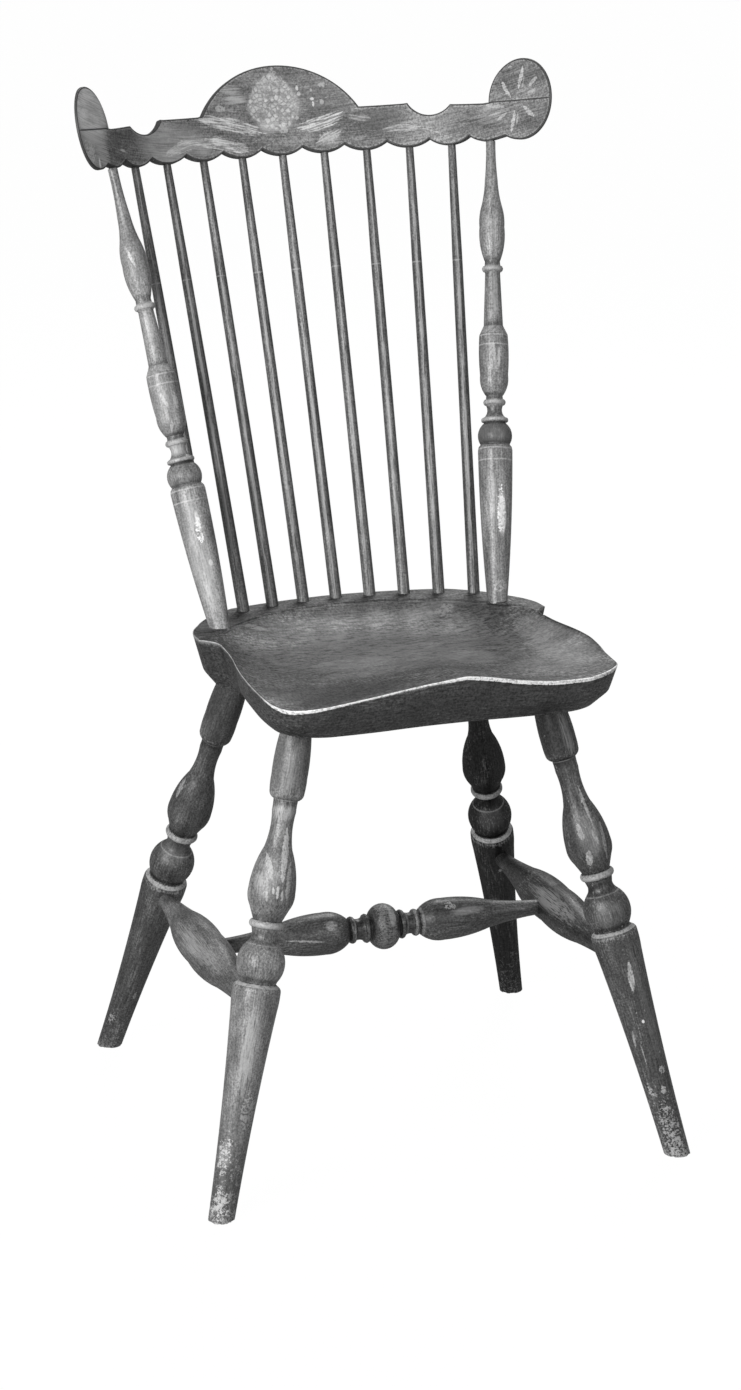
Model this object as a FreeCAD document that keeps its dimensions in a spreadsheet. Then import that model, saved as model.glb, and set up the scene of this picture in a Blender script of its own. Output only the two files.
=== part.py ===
"""Fan-back side chair: a carved saddle seat on four splayed turned legs with an H of stretchers, and a
raked back of two turned posts and a fan of plain spindles under a bent crest rail with round glued ears.

Frame: origin on the floor under the middle of the chair, +Z up, the front of the seat toward -Y,
millimetres. The heights and widths of every piece come from the named values of the sheet.
"""
import FreeCAD, Part
import math
import os
import Sketcher

Vector = FreeCAD.Vector

SIZES = {
    # seat plank
    "seat_height": 416.2,
    "seat_thickness": 47.0,
    "seat_tilt_angle": 2.2,
    "middle_offset": 36.6,
    "deck_back_depth": 131.0,
    "deck_bend_width": 105.0,
    "deck_bend_depth": 113.0,
    "deck_corner_width": 153.0,
    "deck_corner_depth": 56.0,
    "deck_end_width": 166.0,
    "deck_end_depth": 19.0,
    "deck_end_length": 18.0,
    "waist_width": 153.7,
    "waist_depth": 32.0,
    "flank_rear_width": 157.5,
    "flank_rear_depth": 80.0,
    "flank_width": 163.5,
    "flank_front_depth": 185.0,
    "front_corner_width": 121.5,
    "front_corner_depth": 230.0,
    "front_lobe_width": 60.0,
    "front_lobe_depth": 229.0,
    "front_middle_depth": 226.0,
    "back_arc_share": 0.035,
    "bend_arc_share": 0.07,
    "end_arc_share": 0.06,
    "waist_arc_share": 0.15,
    "waist_flare_share": 0.02,
    "flank_arc_share": 0.026,
    "corner_arc_share": 0.182,
    "lobe_arc_share": 0.015,
    "bevel_height": 14.0,
    "bevel_share": 0.95,
    "underside_share": 0.885,
    # saddle and gutter
    "gutter_circle_radius": 168.3,
    "gutter_circle_depth": 76.3,
    "gutter_half_angle": 66.0,
    "gutter_groove_radius": 3.2,
    "saddle_depth": 16.0,
    "saddle_bowl_depth": 3.0,
    "saddle_bowl_position": 12.0,
    "saddle_bowl_width": 75.0,
    "saddle_wall_power": 8.0,
    "saddle_side_width": 151.0,
    "saddle_flare_share": 0.45,
    "pommel_width": 54.0,
    "pommel_start_depth": 70.0,
    # legs
    "front_leg_top_width": 114.6,
    "front_leg_top_depth": 130.8,
    "front_left_leg_foot_width": 218.0,
    "front_left_leg_foot_depth": 213.0,
    "front_right_leg_foot_width": 210.5,
    "front_right_leg_foot_depth": 217.0,
    "rear_leg_top_width": 113.3,
    "rear_leg_top_depth": 64.6,
    "rear_left_leg_foot_width": 212.5,
    "rear_left_leg_foot_depth": 214.0,
    "rear_right_leg_foot_width": 211.6,
    "rear_right_leg_foot_depth": 217.0,
    "leg_tenon_length": 22.0,
    "leg_tenon_radius": 10.6,
    "leg_top_radius": 11.6,
    "leg_barrel_radius": 15.8,
    "leg_barrel_swell_length": 50.0,
    "leg_barrel_end_length": 17.0,
    "leg_barrel_end_radius": 15.0,
    "leg_barrel_bevel_length": 3.0,
    "leg_barrel_bevel_radius": 12.2,
    "leg_neck_length": 10.0,
    "leg_neck_radius": 10.6,
    "leg_vase_foot_length": 33.0,
    "leg_vase_foot_radius": 12.5,
    "leg_vase_rise_length": 37.0,
    "leg_vase_radius": 20.7,
    "leg_vase_turn_length": 15.0,
    "leg_vase_turn_radius": 17.5,
    "leg_vase_fall_length": 11.0,
    "leg_ring_foot_radius": 12.8,
    "leg_ring_length": 7.5,
    "leg_cove_length": 6.0,
    "leg_cove_radius": 11.3,
    "leg_ball_rise_length": 7.0,
    "leg_ball_top_radius": 14.2,
    "leg_ball_length": 32.0,
    "leg_ball_foot_radius": 16.8,
    "leg_groove_length": 2.2,
    "leg_groove_radius": 16.0,
    "leg_bead_length": 3.0,
    "leg_bead_radius": 20.0,
    "leg_shoulder_length": 4.0,
    "leg_shoulder_radius": 21.2,
    "leg_calf_length": 16.0,
    "leg_calf_radius": 20.5,
    "leg_foot_radius": 11.4,
    "leg_foot_spare": 9.0,
    "floor_block_share": 1.5,
    "front_left_leg_pattern_shift": 1.0,
    "front_right_leg_pattern_shift": -8.5,
    "rear_left_leg_pattern_shift": 9.5,
    "rear_right_leg_pattern_shift": -2.0,
    # stretchers
    "front_leg_joint_length": 255.5,
    "rear_leg_joint_length": 262.5,
    "side_stretcher_end_inset": 9.0,
    "side_stretcher_end_radius": 6.4,
    "side_stretcher_neck_length": 15.0,
    "side_stretcher_neck_radius": 7.4,
    "side_stretcher_waist_share": 0.5,
    "side_stretcher_waist_radius": 14.8,
    "side_stretcher_swell_radius": 19.6,
    "middle_stretcher_end_inset": 8.0,
    "middle_stretcher_end_radius": 6.2,
    "middle_ball_half_length": 13.5,
    "middle_ball_foot_radius": 11.5,
    "middle_ball_radius": 21.5,
    "middle_ring_gap": 1.0,
    "middle_ring_foot_radius": 11.2,
    "middle_ring_length": 5.5,
    "middle_cove_length": 8.0,
    "middle_cove_radius": 10.2,
    "middle_outer_ring_foot_radius": 10.3,
    "middle_outer_ring_length": 6.0,
    "middle_swell_rise_length": 23.0,
    "middle_swell_radius": 19.7,
    "middle_swell_fall_length": 46.0,
    "middle_swell_fall_radius": 13.2,
    "middle_neck_length": 47.0,
    "middle_neck_radius": 7.2,
    # back posts
    "post_foot_width": 134.7,
    "post_foot_depth": 43.8,
    "post_tenon_length": 24.0,
    "post_tenon_radius": 8.4,
    "post_foot_radius": 9.4,
    "post_taper_length": 134.0,
    "post_taper_radius": 16.2,
    "post_edge_length": 3.0,
    "post_edge_radius": 15.6,
    "post_groove_length": 2.5,
    "post_groove_radius": 13.6,
    "post_ball_length": 20.5,
    "post_ball_radius": 16.4,
    "post_ball_end_radius": 9.8,
    "post_disc_gap": 1.2,
    "post_disc_radius": 12.4,
    "post_disc_length": 3.0,
    "post_cove_length": 10.0,
    "post_cove_radius": 7.4,
    "post_ring_foot_radius": 8.0,
    "post_ring_length": 6.0,
    "post_hollow_length": 3.0,
    "post_hollow_radius": 7.7,
    "post_barrel_rise_length": 20.0,
    "post_barrel_rise_radius": 13.2,
    "post_barrel_length": 38.0,
    "post_barrel_radius": 13.4,
    "post_bevel_length": 9.0,
    "post_bevel_radius": 9.1,
    "post_neck_length": 50.0,
    "post_neck_radius": 7.1,
    "post_collar_foot_radius": 7.4,
    "post_collar_length": 6.2,
    "post_vase_start_length": 4.0,
    "post_vase_rise_length": 33.0,
    "post_vase_radius": 11.8,
    "post_vase_turn_length": 18.0,
    "post_vase_turn_radius": 10.3,
    "post_vase_fall_length": 27.0,
    "post_vase_fall_radius": 6.1,
    "post_top_radius": 4.5,
    "post_top_tenon_length": 18.0,
    "post_top_tenon_radius": 3.4,
    "left_post_pattern_shift": -7.0,
    "right_post_pattern_shift": 7.0,
    # spindles
    "spindle_foot_pitch": 33.3,
    "spindle_foot_gather_share": 0.013,
    "spindle_foot_depth": 118.8,
    "spindle_foot_curve_share": 0.0021,
    "spindle_tenon_length": 18.0,
    "spindle_tenon_radius": 5.3,
    "spindle_foot_radius": 5.7,
    "spindle_knee_share": 0.74,
    "spindle_knee_radius": 4.8,
    "spindle_top_radius": 3.7,
    "spindle_top_tenon_length": 16.0,
    "spindle_top_tenon_radius": 2.8,
    # crest rail
    "crest_height": 857.5,
    "crest_depth": 267.3,
    "crest_lean_angle": 20.6,
    "crest_roll_angle": 1.0,
    "crest_thickness": 10.0,
    "crest_middle_radius": 340.0,
    "crest_middle_angle": 21.0,
    "crest_end_radius": 140.0,
    "crest_end_angle": 60.0,
    "crest_zone_angle": 37.0,
    "crest_straight_length": 7.0,
    "crest_blank_low": 45.0,
    "crest_blank_high": 100.0,
    "crest_lobe_pitch": 40.8,
    "crest_lobe_level": -1.5,
    "crest_lobe_drop": 16.8,
    "crest_scallop_depth": 6.4,
    "crest_scallop_share": 0.16,
    "crest_half_scallop_share": 0.078,
    "crest_arch_height": 85.0,
    "crest_arch_width": 73.4,
    "crest_arch_spring": 46.0,
    "crest_arch_share": 0.266,
    "crest_arch_foot_width": 80.0,
    "crest_arch_foot_height": 36.5,
    "crest_arch_foot_share": 0.18,
    "crest_flat_height": 33.0,
    "crest_zone_overlap": 9.0,
    "crest_zone_reach": 20.0,
    "crest_cutter_share": 1.1,
    "crest_cove_start": 4.0,
    "crest_cove_length": 43.0,
    "crest_cove_end_height": 24.5,
    "crest_cove_share": 0.245,
    "crest_ear_flat_height": 17.5,
    "crest_grain_fall_angle": 11.0,
    # ears
    "ear_radius": 37.7,
    "ear_centre_length": 28.0,
    "ear_centre_height": 11.3,
}


class Size:
    """A number beside the expression that a document property is bound to."""

    def __init__(self, text, value):
        self.text = text
        self.value = value

    @staticmethod
    def of(item):
        """Return a plain number as a Size."""
        return item if isinstance(item, Size) else Size(repr(float(item)), float(item))

    def __add__(self, other):
        other = Size.of(other)
        return Size(f"({self.text} + {other.text})", self.value + other.value)

    def __sub__(self, other):
        other = Size.of(other)
        return Size(f"({self.text} - {other.text})", self.value - other.value)

    def __mul__(self, other):
        other = Size.of(other)
        return Size(f"({self.text} * {other.text})", self.value * other.value)

    def __truediv__(self, other):
        other = Size.of(other)
        return Size(f"({self.text} / {other.text})", self.value / other.value)

    def __neg__(self):
        return Size(f"(0 - {self.text})", -self.value)


def root(size):
    """Square root."""
    return Size(f"sqrt({size.text})", math.sqrt(size.value))


def sine(size):
    """Sine of an angle in degrees."""
    return Size(f"sin({size.text})", math.sin(math.radians(size.value)))


def cosine(size):
    """Cosine of an angle in degrees."""
    return Size(f"cos({size.text})", math.cos(math.radians(size.value)))


def tangent(size):
    """Tangent of an angle in degrees."""
    return Size(f"tan({size.text})", math.tan(math.radians(size.value)))


def arc_cosine(size):
    """Angle in degrees with this cosine."""
    return Size(f"(acos({size.text}) / 1 deg)", math.degrees(math.acos(size.value)))


def named(name):
    """The sheet value with this name."""
    return Size(f"sizes.{name}", SIZES[name])


ZERO = Size("0", 0.0)
HALF = Size("0.5", 0.5)
TURN = Size("(180 / pi)", 180.0 / math.pi)

doc = FreeCAD.newDocument("side_chair")
sheet = doc.addObject("Spreadsheet::Sheet", "sizes")
for row, (alias, number) in enumerate(SIZES.items(), 1):
    sheet.set(f"A{row}", alias)
    sheet.set(f"B{row}", str(number))
    sheet.setAlias(f"B{row}", alias)
doc.recompute()


def bind(item, path, size):
    """Bind one property of an object to an expression of the sheet."""
    item.setExpression(path, size.text)


def placement_text(corner, axis, angle):
    """The expression of a placement: a corner point, a turning axis and an angle, all as sizes."""
    point = "; ".join(part.text for part in corner)
    line = "; ".join(part.text for part in axis)
    return (f"create(<<placement>>; create(<<vector>>; {point}); "
            f"create(<<rotation>>; create(<<vector>>; {line}); {angle.text}))")


def place(item, corner, axis, angle, path="Placement"):
    """Bind a placement of an object."""
    item.setExpression(path, placement_text(corner, axis, angle))


def new_body(name):
    """Add an empty body."""
    body = doc.addObject("PartDesign::Body", name)
    body.Label = name
    return body


def new_sketch(body, name, plane):
    """Add a sketch on one of the body's own origin planes."""
    sketch = body.newObject("Sketcher::SketchObject", name)
    support = [item for item in body.Origin.OriginFeatures if item.Role == plane][0]
    sketch.AttachmentSupport = (support, "")
    sketch.MapMode = "FlatFace"
    return sketch


def hold(sketch, geometry, position, x, y):
    """Hold one point of a sketch at a named place."""
    for kind, line, size in (("DistanceX", -2, x), ("DistanceY", -1, y)):
        if size.value == 0.0:
            sketch.addConstraint(Sketcher.Constraint("PointOnObject", geometry, position, line))
        else:
            index = sketch.addConstraint(Sketcher.Constraint(kind, -1, 1, geometry, position, size.value))
            sketch.setExpression(f"Constraints[{index}]", size.text)


def outline(sketch, rows):
    """Draw a closed outline. Each row is x, y and the rise share of the arc to the next row.

    A share is the rise of the arc over its chord: to the right of the way along the outline when it is
    positive, to the left when it is negative, and a straight line when it is None.
    """
    first = sketch.GeometryCount
    ends = []
    for index, (x, y, share) in enumerate(rows):
        next_x, next_y, _ = rows[(index + 1) % len(rows)]
        start = Vector(x.value, y.value, 0)
        finish = Vector(next_x.value, next_y.value, 0)
        if share is None:
            geometry = sketch.addGeometry(Part.LineSegment(start, finish), False)
            ends.append((geometry, 1, 2))
            continue
        way = finish - start
        side = Vector(way.y, -way.x, 0) * share.value
        middle = (start + finish) * 0.5 + side
        geometry = sketch.addGeometry(Part.Arc(start, middle, finish), False)
        ends.append((geometry, 1, 2) if share.value > 0 else (geometry, 2, 1))
    for index, (x, y, share) in enumerate(rows):
        geometry, start, finish = ends[index]
        follower, follower_start, _ = ends[(index + 1) % len(rows)]
        sketch.addConstraint(Sketcher.Constraint("Coincident", geometry, finish, follower, follower_start))
        hold(sketch, geometry, start, x, y)
        if share is not None:
            next_x, next_y, _ = rows[(index + 1) % len(rows)]
            chord = root((next_x - x) * (next_x - x) + (next_y - y) * (next_y - y))
            rise = share if share.value > 0 else -share
            radius = chord * (rise * rise + 0.25) / (rise * 2)
            held = sketch.addConstraint(Sketcher.Constraint("Radius", geometry, radius.value))
            bind(sketch, f"Constraints[{held}]", radius)
    return first


def share(number):
    """A hand-chosen rise share of an arc."""
    return Size(repr(number), number)


def running(steps):
    """Turn rows of step, radius and share into rows of running length, radius and share."""
    rows = []
    length = None
    for step, radius, rise in steps:
        length = step if length is None else length + step
        rows.append((length, radius, rise))
    return rows


def turned_piece(name, rows, start, finish):
    """Revolve a half profile about the line from start to finish.

    Rows give the length along the line from start, the radius there and the rise share of the arc to the
    next row: positive for a swell and negative for a hollow.
    """
    body = new_body(name)
    sketch = new_sketch(body, f"{name}_profile", "XZ_Plane")
    points = [(ZERO, rows[0][0], None)]
    points += [(radius, length, rise) for length, radius, rise in rows]
    points.append((ZERO, rows[-1][0], None))
    outline(sketch, points)
    doc.recompute()
    turning = body.newObject("PartDesign::Revolution", f"{name}_turning")
    turning.Profile = sketch
    turning.ReferenceAxis = (sketch, ["V_Axis"])
    turning.Angle = 360.0
    body.Tip = turning
    way = [far - near for near, far in zip(start, finish)]
    reach = root(way[0] * way[0] + way[1] * way[1] + way[2] * way[2])
    place(body, start, (-way[1], way[0], ZERO), arc_cosine(way[2] / reach))
    return body


def between(start, finish, part):
    """The point at a share of the way from start to finish."""
    return tuple(near + (far - near) * part for near, far in zip(start, finish))


def distance(start, finish):
    """The distance between two points."""
    way = [far - near for near, far in zip(start, finish)]
    return root(way[0] * way[0] + way[1] * way[1] + way[2] * way[2])


middle = named("middle_offset")
tilt = named("seat_tilt_angle")


def seat_point(x, y, height):
    """A point of the seat plank's own frame in the chair's frame."""
    return (x, y * cosine(tilt) + height * sine(tilt) - middle,
            named("seat_height") - y * sine(tilt) + height * cosine(tilt))


# The seat plank, its saddle and its gutter
def seat_rows(part):
    """The seat's outline scaled by a share about the seat's middle, from the back and clockwise."""
    def point(width, depth, rise=None):
        return (width * part, depth * part, rise)

    right = [
        point(ZERO, named("deck_back_depth"), -named("back_arc_share")),
        point(named("deck_bend_width"), named("deck_bend_depth"), -named("bend_arc_share")),
        point(named("deck_corner_width"), named("deck_corner_depth"), -named("end_arc_share")),
        point(named("deck_end_width"), named("deck_end_depth")),
        point(named("deck_end_width"), named("deck_end_depth") - named("deck_end_length"),
              named("waist_arc_share")),
        point(named("waist_width"), -named("waist_depth"), named("waist_flare_share")),
        point(named("flank_rear_width"), -named("flank_rear_depth"), -named("flank_arc_share")),
        point(named("flank_width"), -named("flank_front_depth"), -named("corner_arc_share")),
        point(named("front_corner_width"), -named("front_corner_depth"), -named("lobe_arc_share")),
        point(named("front_lobe_width"), -named("front_lobe_depth"), named("lobe_arc_share")),
        point(ZERO, -named("front_middle_depth"), named("lobe_arc_share")),
    ]
    left = []
    for index in range(len(right) - 2, 0, -1):
        x, y, _ = right[index]
        left.append((-x, y, right[index - 1][2]))
    return right + left


seat_plank = new_body("seat_plank")
levels = (("seat_underside_outline", named("underside_share"), ZERO),
          ("seat_bevel_outline", named("bevel_share"), named("bevel_height")),
          ("seat_top_outline", share(1.0), named("seat_thickness")))
outlines = []
for sketch_name, part, height in levels:
    level = new_sketch(seat_plank, sketch_name, "XY_Plane")
    outline(level, seat_rows(part))
    bind(level, "AttachmentOffset.Base.z", height)
    outlines.append(level)
doc.recompute()
for loft_name, low, high in (("seat_bevel", outlines[0], outlines[1]), ("seat_edge", outlines[1], outlines[2])):
    loft = seat_plank.newObject("PartDesign::AdditiveLoft", loft_name)
    loft.Profile = low
    loft.Sections = [high]
    loft.Ruled = True
    seat_plank.Tip = loft
    doc.recompute()
place(seat_plank, seat_point(ZERO, ZERO, ZERO), (share(1.0), ZERO, ZERO), -tilt)


def saddle_height(x, y):
    """Height of the carved saddle above the plank's underside."""
    waist = SIZES["deck_end_depth"] - SIZES["deck_end_length"]
    if y > waist:
        reach = math.hypot(x, y + SIZES["gutter_circle_depth"]) / SIZES["gutter_circle_radius"]
    else:
        forward = (waist - y) / (SIZES["front_middle_depth"] + waist)
        reach = abs(x) / (SIZES["saddle_side_width"] * (1.0 + SIZES["saddle_flare_share"] * forward ** 2))
    wall = 1.0 - min(reach, 1.25) ** SIZES["saddle_wall_power"]
    bowl = math.exp(-((y - SIZES["saddle_bowl_position"]) / SIZES["saddle_bowl_width"]) ** 2)
    depth = (SIZES["saddle_depth"] + SIZES["saddle_bowl_depth"] * bowl) * wall
    ramp = (-SIZES["pommel_start_depth"] - y) / (SIZES["front_middle_depth"] - SIZES["pommel_start_depth"])
    ramp = min(max(ramp, 0.0), 1.0)
    ridge = ramp * ramp * (3.0 - 2.0 * ramp) * math.exp(-(x / SIZES["pommel_width"]) ** 2)
    return SIZES["seat_thickness"] - depth * (1.0 - ridge)


def saddle_tool():
    """A block standing on the carved saddle surface, for the hollow of the seat."""
    half_width = SIZES["flank_width"] * 1.2
    front = SIZES["front_corner_depth"] * 1.1
    back = SIZES["deck_back_depth"]
    columns = 33
    lines = 31
    grid = []
    for line in range(lines):
        y = -front + (front + back) * line / (lines - 1)
        points = []
        for column in range(columns):
            x = -half_width + 2.0 * half_width * column / (columns - 1)
            points.append(Vector(x, y, saddle_height(x, y)))
        grid.append(points)
    surface = Part.BSplineSurface()
    surface.interpolate(grid)
    return surface.toShape().extrude(Vector(0, 0, 2.0 * SIZES["seat_thickness"]))


saddle = doc.addObject("Part::Feature", "saddle_hollow")
saddle.Shape = saddle_tool()
place(saddle, seat_point(ZERO, ZERO, ZERO), (share(1.0), ZERO, ZERO), -tilt)

gutter = new_body("gutter_groove")
gutter_sketch = new_sketch(gutter, "gutter_section", "XZ_Plane")
gutter_radius = named("gutter_circle_radius")
groove_radius = named("gutter_groove_radius")
gutter_circle = gutter_sketch.addGeometry(
    Part.Circle(Vector(gutter_radius.value, 0, 0), Vector(0, 0, 1), groove_radius.value), False)
hold(gutter_sketch, gutter_circle, 3, gutter_radius, ZERO)
held_radius = gutter_sketch.addConstraint(Sketcher.Constraint("Radius", gutter_circle, groove_radius.value))
bind(gutter_sketch, f"Constraints[{held_radius}]", groove_radius)
place(gutter_sketch, (ZERO, ZERO, ZERO), (ZERO, share(1.0), ZERO), share(90.0) - named("gutter_half_angle"),
      "AttachmentOffset")
doc.recompute()
gutter_turn = gutter.newObject("PartDesign::Revolution", "gutter_turn")
gutter_turn.Profile = gutter_sketch
gutter_turn.ReferenceAxis = (gutter_sketch, ["V_Axis"])
bind(gutter_turn, "Angle", named("gutter_half_angle") * 2)
gutter.Tip = gutter_turn
gutter_centre = seat_point(ZERO, -named("gutter_circle_depth"), named("seat_thickness"))
place(gutter, gutter_centre, (share(1.0), ZERO, ZERO), -tilt)
doc.recompute()


def join(name, pieces):
    """Fuse pieces into one tool."""
    fused = doc.addObject("Part::MultiFuse", name)
    fused.Shapes = pieces
    fused.Label = name
    return fused


def cut(name, base, tool):
    """Cut a tool from a base."""
    result = doc.addObject("Part::Cut", name)
    result.Base = base
    result.Tool = tool
    result.Label = name
    return result


# The legs
def leg_rows(reach, shift):
    """Profile of a leg from the end of its tenon down to the foot."""
    top = running([
        (-named("leg_tenon_length"), named("leg_tenon_radius"), None),
        (named("leg_tenon_length"), named("leg_top_radius"), share(0.03)),
        (named("leg_barrel_swell_length") + shift * 0.5, named("leg_barrel_radius"), share(0.02)),
        (named("leg_barrel_end_length") + shift * 0.5, named("leg_barrel_end_radius"), None),
        (named("leg_barrel_bevel_length"), named("leg_barrel_bevel_radius"), None),
        (named("leg_neck_length"), named("leg_neck_radius"), share(-0.05)),
        (named("leg_vase_foot_length"), named("leg_vase_foot_radius"), share(0.05)),
        (named("leg_vase_rise_length"), named("leg_vase_radius"), share(0.08)),
        (named("leg_vase_turn_length"), named("leg_vase_turn_radius"), None),
        (named("leg_vase_fall_length"), named("leg_ring_foot_radius"), share(0.38)),
        (named("leg_ring_length"), named("leg_ring_foot_radius"), None),
        (named("leg_cove_length"), named("leg_cove_radius"), share(-0.1)),
        (named("leg_ball_rise_length"), named("leg_ball_top_radius"), share(0.18)),
        (named("leg_ball_length"), named("leg_ball_foot_radius"), None),
        (named("leg_groove_length"), named("leg_groove_radius"), None),
        (named("leg_bead_length"), named("leg_bead_radius"), share(0.1)),
        (named("leg_shoulder_length"), named("leg_shoulder_radius"), share(0.02)),
        (named("leg_calf_length"), named("leg_calf_radius"), share(-0.008)),
    ])
    top.append((reach + named("leg_foot_spare"), named("leg_foot_radius"), None))
    return top


def leg_ends(name):
    """The points where a leg's axis leaves the seat and meets the floor."""
    end, side = name.split("_")[:2]
    forward = share(-1.0) if end == "front" else share(1.0)
    out = share(-1.0) if side == "left" else share(1.0)
    top = seat_point(out * named(f"{end}_leg_top_width"), forward * named(f"{end}_leg_top_depth"), ZERO)
    foot = (out * named(f"{name}_foot_width"), forward * named(f"{name}_foot_depth") - middle, ZERO)
    return top, foot


LEGS = ("front_left_leg", "front_right_leg", "rear_left_leg", "rear_right_leg")
leg_turnings = {}
for leg in LEGS:
    top, foot = leg_ends(leg)
    rows = leg_rows(distance(top, foot), named(f"{leg}_pattern_shift"))
    leg_turnings[leg] = turned_piece(f"{leg}_turned", rows, top, foot)

floor = doc.addObject("Part::Box", "floor_block")
floor_width = named("front_left_leg_foot_width") * named("floor_block_share")
floor_depth = named("front_right_leg_foot_depth") * named("floor_block_share")
floor_height = named("leg_foot_spare") * named("floor_block_share") * 2
bind(floor, "Length", floor_width * 2)
bind(floor, "Width", floor_depth * 2)
bind(floor, "Height", floor_height)
bind(floor, "Placement.Base.x", -floor_width)
bind(floor, "Placement.Base.y", -floor_depth - middle)
bind(floor, "Placement.Base.z", -floor_height)


# The stretchers
def joint_point(leg):
    """The point on a leg's axis where its side stretcher enters."""
    top, foot = leg_ends(leg)
    end = leg.split("_")[0]
    return between(top, foot, named(f"{end}_leg_joint_length") / distance(top, foot))


def mirrored_rows(half, whole):
    """Complete a profile that is symmetric about the middle of its length."""
    rows = list(half)
    for index in range(len(half) - 1, -1, -1):
        length, radius, _ = half[index]
        rise = half[index - 1][2] if index else None
        if half[index][0].value * 2 < whole.value - 0.001:
            rows.append((whole - length, radius, rise))
    return rows


def side_stretcher_rows(whole):
    """Profile of a side stretcher: thin ends and one long swell."""
    inset = named("side_stretcher_end_inset")
    neck = inset + named("side_stretcher_neck_length")
    waist = neck + (whole * 0.5 - neck) * named("side_stretcher_waist_share")
    return mirrored_rows([
        (inset, named("side_stretcher_end_radius"), None),
        (neck, named("side_stretcher_neck_radius"), share(-0.01)),
        (waist, named("side_stretcher_waist_radius"), share(0.035)),
        (whole * 0.5, named("side_stretcher_swell_radius"), share(0.035)),
    ], whole)


def middle_stretcher_rows(whole):
    """Profile of the middle stretcher: a ball between rings and coves, and a swell toward each end."""
    centre = whole * 0.5
    ball = centre - named("middle_ball_half_length")
    ring_end = ball - named("middle_ring_gap")
    ring_start = ring_end - named("middle_ring_length")
    outer_end = ring_start - named("middle_cove_length")
    outer_start = outer_end - named("middle_outer_ring_length")
    swell = outer_start - named("middle_swell_rise_length")
    fall = swell - named("middle_swell_fall_length")
    neck = fall - named("middle_neck_length")
    cove = named("middle_cove_radius")
    half = [
        (named("middle_stretcher_end_inset"), named("middle_stretcher_end_radius"), None),
        (neck, named("middle_neck_radius"), share(-0.02)),
        (fall, named("middle_swell_fall_radius"), share(0.04)),
        (swell, named("middle_swell_radius"), share(0.12)),
        (outer_start, named("middle_outer_ring_foot_radius"), share(0.42)),
        (outer_end, named("middle_outer_ring_foot_radius"), share(-0.12)),
        (ring_start, named("middle_ring_foot_radius"), share(0.46)),
        (ring_end, named("middle_ring_foot_radius"), None),
        (ball, named("middle_ball_foot_radius"), None),
    ]
    rows = mirrored_rows(half, whole)
    ball_rise = (named("middle_ball_radius") - named("middle_ball_foot_radius")) / (named("middle_ball_half_length") * 2)
    rows[len(half) - 1] = (ball, named("middle_ball_foot_radius"), ball_rise)
    return rows


side_turnings = {}
for side in ("left", "right"):
    start = joint_point(f"front_{side}_leg")
    finish = joint_point(f"rear_{side}_leg")
    side_turnings[side] = turned_piece(f"{side}_side_stretcher_turned", side_stretcher_rows(distance(start, finish)),
                                       start, finish)
left_middle = between(joint_point("front_left_leg"), joint_point("rear_left_leg"), HALF)
right_middle = between(joint_point("front_right_leg"), joint_point("rear_right_leg"), HALF)
medial_stretcher = turned_piece("medial_stretcher", middle_stretcher_rows(distance(left_middle, right_middle)),
                                left_middle, right_middle)
for side in ("left", "right"):
    cut(f"{side}_side_stretcher", side_turnings[side], medial_stretcher)
for leg in LEGS:
    trimmed = cut(f"{leg}_trimmed", leg_turnings[leg], floor)
    cut(leg, trimmed, side_turnings[leg.split("_")[1]])

# The crest's own frame: x across, y to the back and height up along its lean. The whole crest is
# rolled a little, its right end up.
lean = named("crest_lean_angle")
roll = named("crest_roll_angle")
centre_radius = named("crest_middle_radius")
end_radius = named("crest_end_radius")
centre_angle = named("crest_middle_angle")
end_angle = named("crest_end_angle")
thickness = named("crest_thickness")
pitch = named("crest_lobe_pitch")
centre_run = centre_radius * centre_angle / TURN


def crest_point(x, y, height):
    """A point of the crest's own frame in the chair's frame."""
    raised = height * cosine(roll) + x * sine(roll)
    return (x * cosine(roll) - height * sine(roll),
            named("crest_depth") + y * cosine(lean) + raised * sine(lean) - middle,
            named("crest_height") - y * sine(lean) + raised * cosine(lean))


def crest_plan(run, back):
    """Plan point at a run along the crest from its middle, set back from its middle line."""
    if run.value <= centre_run.value:
        angle = run / centre_radius * TURN
        return (sine(angle) * (centre_radius + back), cosine(angle) * (centre_radius + back) - centre_radius)
    angle = centre_angle + (run - centre_run) / end_radius * TURN
    return end_arc_point(angle, back)


def end_arc_point(angle, back):
    """Plan point on an end arc of the crest."""
    hub = centre_radius - end_radius
    return (sine(centre_angle) * hub + sine(angle) * (end_radius + back),
            cosine(centre_angle) * hub + cosine(angle) * (end_radius + back) - centre_radius)


def lobe_level(run):
    """Height of the scalloped lower edge's lobes at a run from the middle."""
    part = run / (pitch * 5)
    return named("crest_lobe_level") - named("crest_lobe_drop") * part * part


def crest_socket(index, out):
    """The point where a spindle or post enters the crest, counted from the middle."""
    run = pitch * index
    x, y = crest_plan(run, ZERO)
    return crest_point(x * out, y, lobe_level(run))


# The spindles and the posts
def spindle_rows(reach):
    """Profile of a plain tapered spindle."""
    return [
        (-named("spindle_tenon_length"), named("spindle_tenon_radius"), None),
        (ZERO, named("spindle_foot_radius"), None),
        (reach * named("spindle_knee_share"), named("spindle_knee_radius"), None),
        (reach, named("spindle_top_radius"), None),
        (reach, named("spindle_top_tenon_radius"), None),
        (reach + named("spindle_top_tenon_length"), named("spindle_top_tenon_radius"), None),
    ]


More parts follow.
